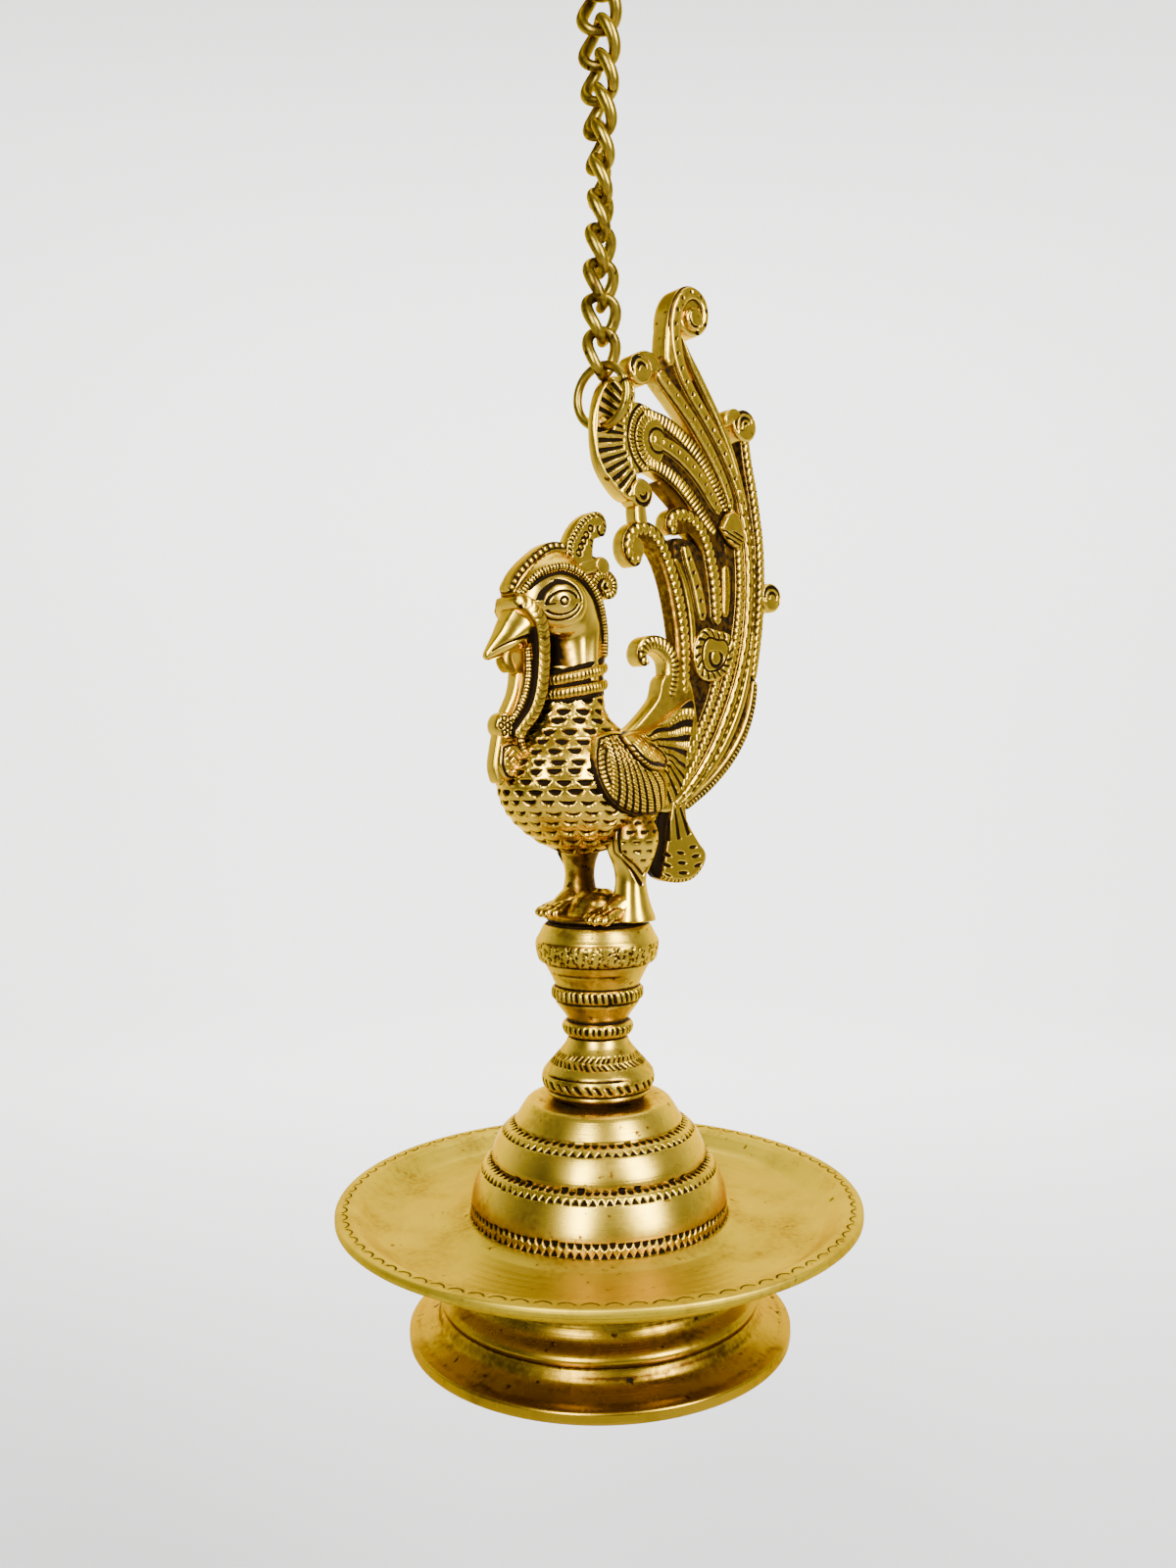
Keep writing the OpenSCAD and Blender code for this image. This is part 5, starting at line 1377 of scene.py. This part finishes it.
strap = np.array([[-31.4, 89.4, 1.7, 4.6], [-29.4, 88.6, 2.1, 6.9], [-27.0, 86.4, 2.2, 8.0], [-24.9, 83.4, 2.2, 8.1],
                  [-23.7, 79.4, 2.1, 7.5], [-23.2, 74.6, 2.0, 7.0], [-23.4, 69.6, 2.0, 6.8], [-24.0, 64.6, 2.0, 6.5],
                  [-25.6, 59.7, 1.8, 5.9], [-28.6, 55.5, 1.6, 5.0], [-31.0, 52.8, 1.3, 4.4]])
bar(head, strap, carve=strap_lines, crown=0.04, face=17)
strap_shadow = (strap + [-0.3, 0, 0.45, -0.6])[3:]  # below the cheek: a little wider and lower, so a dark line shows
bar(head, strap_shadow, crown=0.04, face=5, patina=0.95)
bar(head, [[-25.7, 78.2, 0.9, 6.0], [-24.9, 74.5, 1.1, 6.0], [-24.8, 69.6, 1.2, 6.0], [-25.6, 63.8, 1.2, 5.6],
           [-27.6, 58.2, 1.1, 5.0], [-29.8, 55.0, 0.9, 4.4]], carve=chevrons(1.4, 0.2, 0.4))
bar(head, [[-27.0, 76.9, 1.0, 4.8], [-26.6, 73.6, 1.3, 4.8], [-26.6, 68.7, 1.5, 4.8], [-27.6, 63.7, 1.6, 4.4],
           [-29.6, 59.4, 1.4, 3.8], [-31.4, 57.0, 1.0, 3.2]], carve=hatched(0.95, -0.8, 0.8))
bar(head, [[-28.4, 70.0, 0.8], [-29.4, 64.0, 1.2], [-32.0, 58.4, 1.4], [-33.6, 54.0, 1.6], [-34.6, 49.0, 1.8],
           [-35.2, 44.5, 1.8], [-34.4, 40.2, 1.4]], 2.0)
bar(head, [[-28.4, 57.0, 1.0], [-29.4, 52.0, 1.3], [-27.6, 47.4, 1.2], [-25.6, 43.6, 0.9]], 4.6,
    hatched(1.0, -0.8, 0.8))


def rosette_cuts(rho, y, angle):
    """A ring about the middle and six small rings about it."""
    x, z = rho * np.cos(angle), rho * np.sin(angle)
    turns = np.arange(6) * np.pi / 3
    petals = sum(cut(np.hypot(x - 2.2 * np.cos(t), z - 2.2 * np.sin(t)) - 0.75, 0.3) for t in turns)
    dark = np.clip(cut(rho - 0.8, 0.35) + petals, 0, 1) * (np.abs(y) > 0.8)
    return -0.35 * dark, 0.9 * dark


scroll(head, -32.8, 55.6, 3.7, 2.6, rosette_cuts, 72)


def pendant_cuts(x, z, edge, angle):
    """A drop with a black border, chevron strokes above and small dots below."""
    border = cut(edge - 0.9, 0.4)
    stroke = cut(saw((z + 0.9 * np.abs(x + 31.7)) / 1.9), 0.2) * (z > 46) * (edge > 1.4)
    dots = np.clip(1.4 - 5 * np.hypot(saw(x / 1.9), saw(z / 1.9)), 0, 1) * (z < 45.4) * (edge > 1.4)
    dark = np.maximum(np.maximum(border, 0.75 * stroke), 0.7 * dots)
    return -0.35 * dark, 0.9 * dark


for side in (-1, 1):
    lens(head, [[-35.3, 50.4], [-31.6, 51.4], [-27.7, 49.6], [-27.3, 45.6], [-29.7, 41.6], [-33.7, 41.2],
                [-36.0, 45]], (-31.7, 46.0), flat_skin(1.9), 1.9, pendant_cuts, side, rows=26, sides=150)
print("garland gathered:", len(head.points))

# %% [markdown]
# ## Crest
# The crest is a flat feather with a hatched border, a chain of small rings down
# its middle and a curled tip, and two curls stand behind it. A cut-out sheet
# could stand for it, but a plate on a polar grid takes carving on both faces.

# %% Crest
def crest_cuts(x, z, edge, angle):
    """Hatching in the border, small rings down the middle and a curl at the tip."""
    hatch = cut(saw((0.55 * x + z) / 1.5), 0.26) * (edge > 0.3) * (edge < 2.0)
    chain = sum(cut(np.hypot(x - cx, z - cz) - 0.85, 0.42) for cx, cz in (
        (-7.6, 104.2), (-6.8, 106.0), (-5.8, 107.8), (-4.8, 109.5), (-3.2, 111.5)))
    curl = cut(np.hypot(x - 1.0, z - 111.6) - 1.7, 0.5) * (z < 112.6)
    dark = np.clip(0.95 * hatch + chain + curl, 0, 1)
    return -0.5 * dark, dark


plate(head, [[-11, 99], [-11.4, 106], [-7.8, 112.5], [-2.6, 116.2], [1.4, 116.2], [3.2, 113], [1.8, 109.6],
             [-1.2, 109], [-2.2, 105], [-3, 99]], (-5.0, 108.5), 2.6, crest_cuts, rows=40, sides=260)
bar(head, [[-8, 99.5, 2.4], [-4, 100.8, 2.8], [0.4, 101.8, 2.4]], 2.8, smooth_rib())
scroll(head, 0.8, 101.0, 3.0, 2.9, arcs(3.0, (0.82,), 2.9, 3.0, 0.5), 60)
bar(head, [[-2.6, 95.4, 1.3], [-0.6, 98.4, 1.5], [2.6, 99.0, 1.6], [5.2, 97.2, 1.5], [5.2, 94.4, 1.4],
           [3.2, 93.2, 1.2], [2.0, 94.8, 1.0]], 3.0, hatched(1.1, -0.8, 0.8))
scroll(head, 2.6, 95.6, 3.4, 2.3, arcs(3.4, (0.72, 0.2), 1.2, 5.0, 0.8), 60)
head.make("bird_head", "lamp", "brass", cast_brass, "peacock")

# %% [markdown]
# ## Hidden fasteners
# The stud, the tie rod, its washer and its nut keep the solids of the part.
# They could be drawn again too, but nobody sees them, so they only get a steel
# finish with a fine grain.

# %% Steel
steel = bpy.data.materials.new("dull_steel")
steel.use_nodes = True
tree = steel.node_tree
shader = tree.nodes["Principled BSDF"]
shader.inputs["Metallic"].default_value = 1.0
place = tree.nodes.new("ShaderNodeTexCoord").outputs["Object"]
grain = noise_at(tree, place, 0.8, 4.0)
tree.links.new(mixed(tree, grain, (0.36, 0.35, 0.33), (0.58, 0.57, 0.55)), shader.inputs["Base Color"])
tree.links.new(spread(tree, grain, 0.3, 0.7, 0.32, 0.5), shader.inputs["Roughness"])
for node in ("bird_stud", "tie_rod", "tie_washer", "tie_nut"):
    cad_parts[node].data.materials.clear()
    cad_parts[node].data.materials.append(steel)
print("hidden fasteners in", steel.name)

# %% [markdown]
# ## Floor, light and closing
# A flat backdrop could stand behind the lamp, but metal mirrors all sides. So a
# pale floor curves up far from the lamp into a pale wall, and no horizon cuts
# the picture. Bright metal shows only what it mirrors, so the wall on the
# camera's side is painted dark, a painted shade that stands for a dim room,
# and two tall soft lights stand there. They give the bright upright bands on
# the turned tiers, with darker bands between them.

# %% Studio
angle = np.linspace(0, 2 * np.pi, 96, endpoint=False)[None, :]
flat_r, bend_r, floor_drop, wall_top = 1.6, 0.8, 0.34, 2.6
bend = np.linspace(0.1, np.pi / 2, 18)
bowl_r = np.concatenate([np.linspace(0.02, flat_r, 24), flat_r + bend_r * np.sin(bend),
                         np.full(6, flat_r + bend_r)])[:, None]
floor_z = seat_z * MM - floor_drop
bowl_z = floor_z + np.concatenate([np.zeros(24), bend_r - bend_r * np.cos(bend),
                                   np.linspace(0.9, wall_top, 6)])[:, None]
bowl = np.stack(np.broadcast_arrays(bowl_r * np.cos(angle), bowl_r * np.sin(angle), bowl_z), axis=-1)
rows, around = bowl.shape[:2]
at = np.arange(rows * around).reshape(rows, around)
beside = np.roll(at, -1, axis=1)
quads = np.stack([at[:-1], beside[:-1], beside[1:], at[1:]], axis=-1).reshape(-1, 4)
hub = np.arange(around)[None, :]
studio_mesh = bpy.data.meshes.new("studio_floor")
studio_mesh.from_pydata(bowl.reshape(-1, 3).tolist(), [], quads[:, ::-1].tolist() + hub.tolist())
studio_mesh.polygons.foreach_set("use_smooth", np.ones(len(studio_mesh.polygons), bool))
studio = bpy.data.objects.new("studio_floor", studio_mesh)
bpy.context.scene.collection.objects.link(studio)
wall = bpy.data.materials.new("pale_wall_painted_dark_on_camera_side")
wall.use_nodes = True
tree = wall.node_tree
place = tree.nodes.new("ShaderNodeTexCoord").outputs["Object"]
facing = tree.nodes.new("ShaderNodeVectorMath")
facing.operation = "DOT_PRODUCT"
facing.inputs[1].default_value = tuple(ahead)
tree.links.new(place, facing.inputs[0])
# painted shade: the wall is pale behind the lamp and near black on the camera's side, standing for a dim room
tree.links.new(mixed(tree, spread(tree, facing.outputs["Value"], -1.0, 1.1), (0.07, 0.07, 0.075), (0.88, 0.88, 0.87)),
               tree.nodes["Principled BSDF"].inputs["Base Color"])
tree.nodes["Principled BSDF"].inputs["Roughness"].default_value = 0.9
studio_mesh.materials.append(wall)
print("studio floor at", round(floor_z, 3), "m")


def soft_light(name, place, aim, wide, tall, power, tint=(1.0, 1.0, 1.0)):
    """An oblong area light at a place, turned to its aim, all in metres."""
    data = bpy.data.lights.new(name, "AREA")
    data.shape, data.size, data.size_y, data.energy, data.color = "RECTANGLE", wide, tall, power, tint
    light = bpy.data.objects.new(name, data)
    bpy.context.scene.collection.objects.link(light)
    back = np.asarray(place) - np.asarray(aim)
    back = back / np.linalg.norm(back)
    side = np.cross([0.02, 0, 1.0], back)
    side = side / np.linalg.norm(side)
    turn_to = np.eye(4)
    turn_to[:3, 0], turn_to[:3, 1], turn_to[:3, 2], turn_to[:3, 3] = side, np.cross(back, side), back, place
    light.matrix_world = turn_to.T.tolist()


def from_lamp(to_right, away, up):
    """A place in metres from the bird's seat: to the camera's right, away from the camera, and up."""
    return np.array([stem_x, 0, seat_z]) * MM + right * to_right + ahead * away + np.array([0, 0, up])


heart = from_lamp(0, 0, 0)
soft_light("left_strip", from_lamp(-0.33, -1.05, 0.42), heart, 0.26, 1.0, 31)
soft_light("right_strip", from_lamp(0.78, -0.80, 0.50), heart, 0.36, 1.0, 44)
soft_light("top", from_lamp(0.1, 0.25, 1.2), heart, 0.9, 0.9, 9)
soft_light("wall_wash", from_lamp(0, 0.7, 1.1), from_lamp(0.1, 2.2, 0.1), 1.6, 0.5, 92)
world = bpy.data.worlds.new("pale_room")
bpy.context.scene.world = world
world.use_nodes = True
world.node_tree.nodes["Background"].inputs["Color"].default_value = (0.88, 0.88, 0.88, 1)
world.node_tree.nodes["Background"].inputs["Strength"].default_value = 0.42
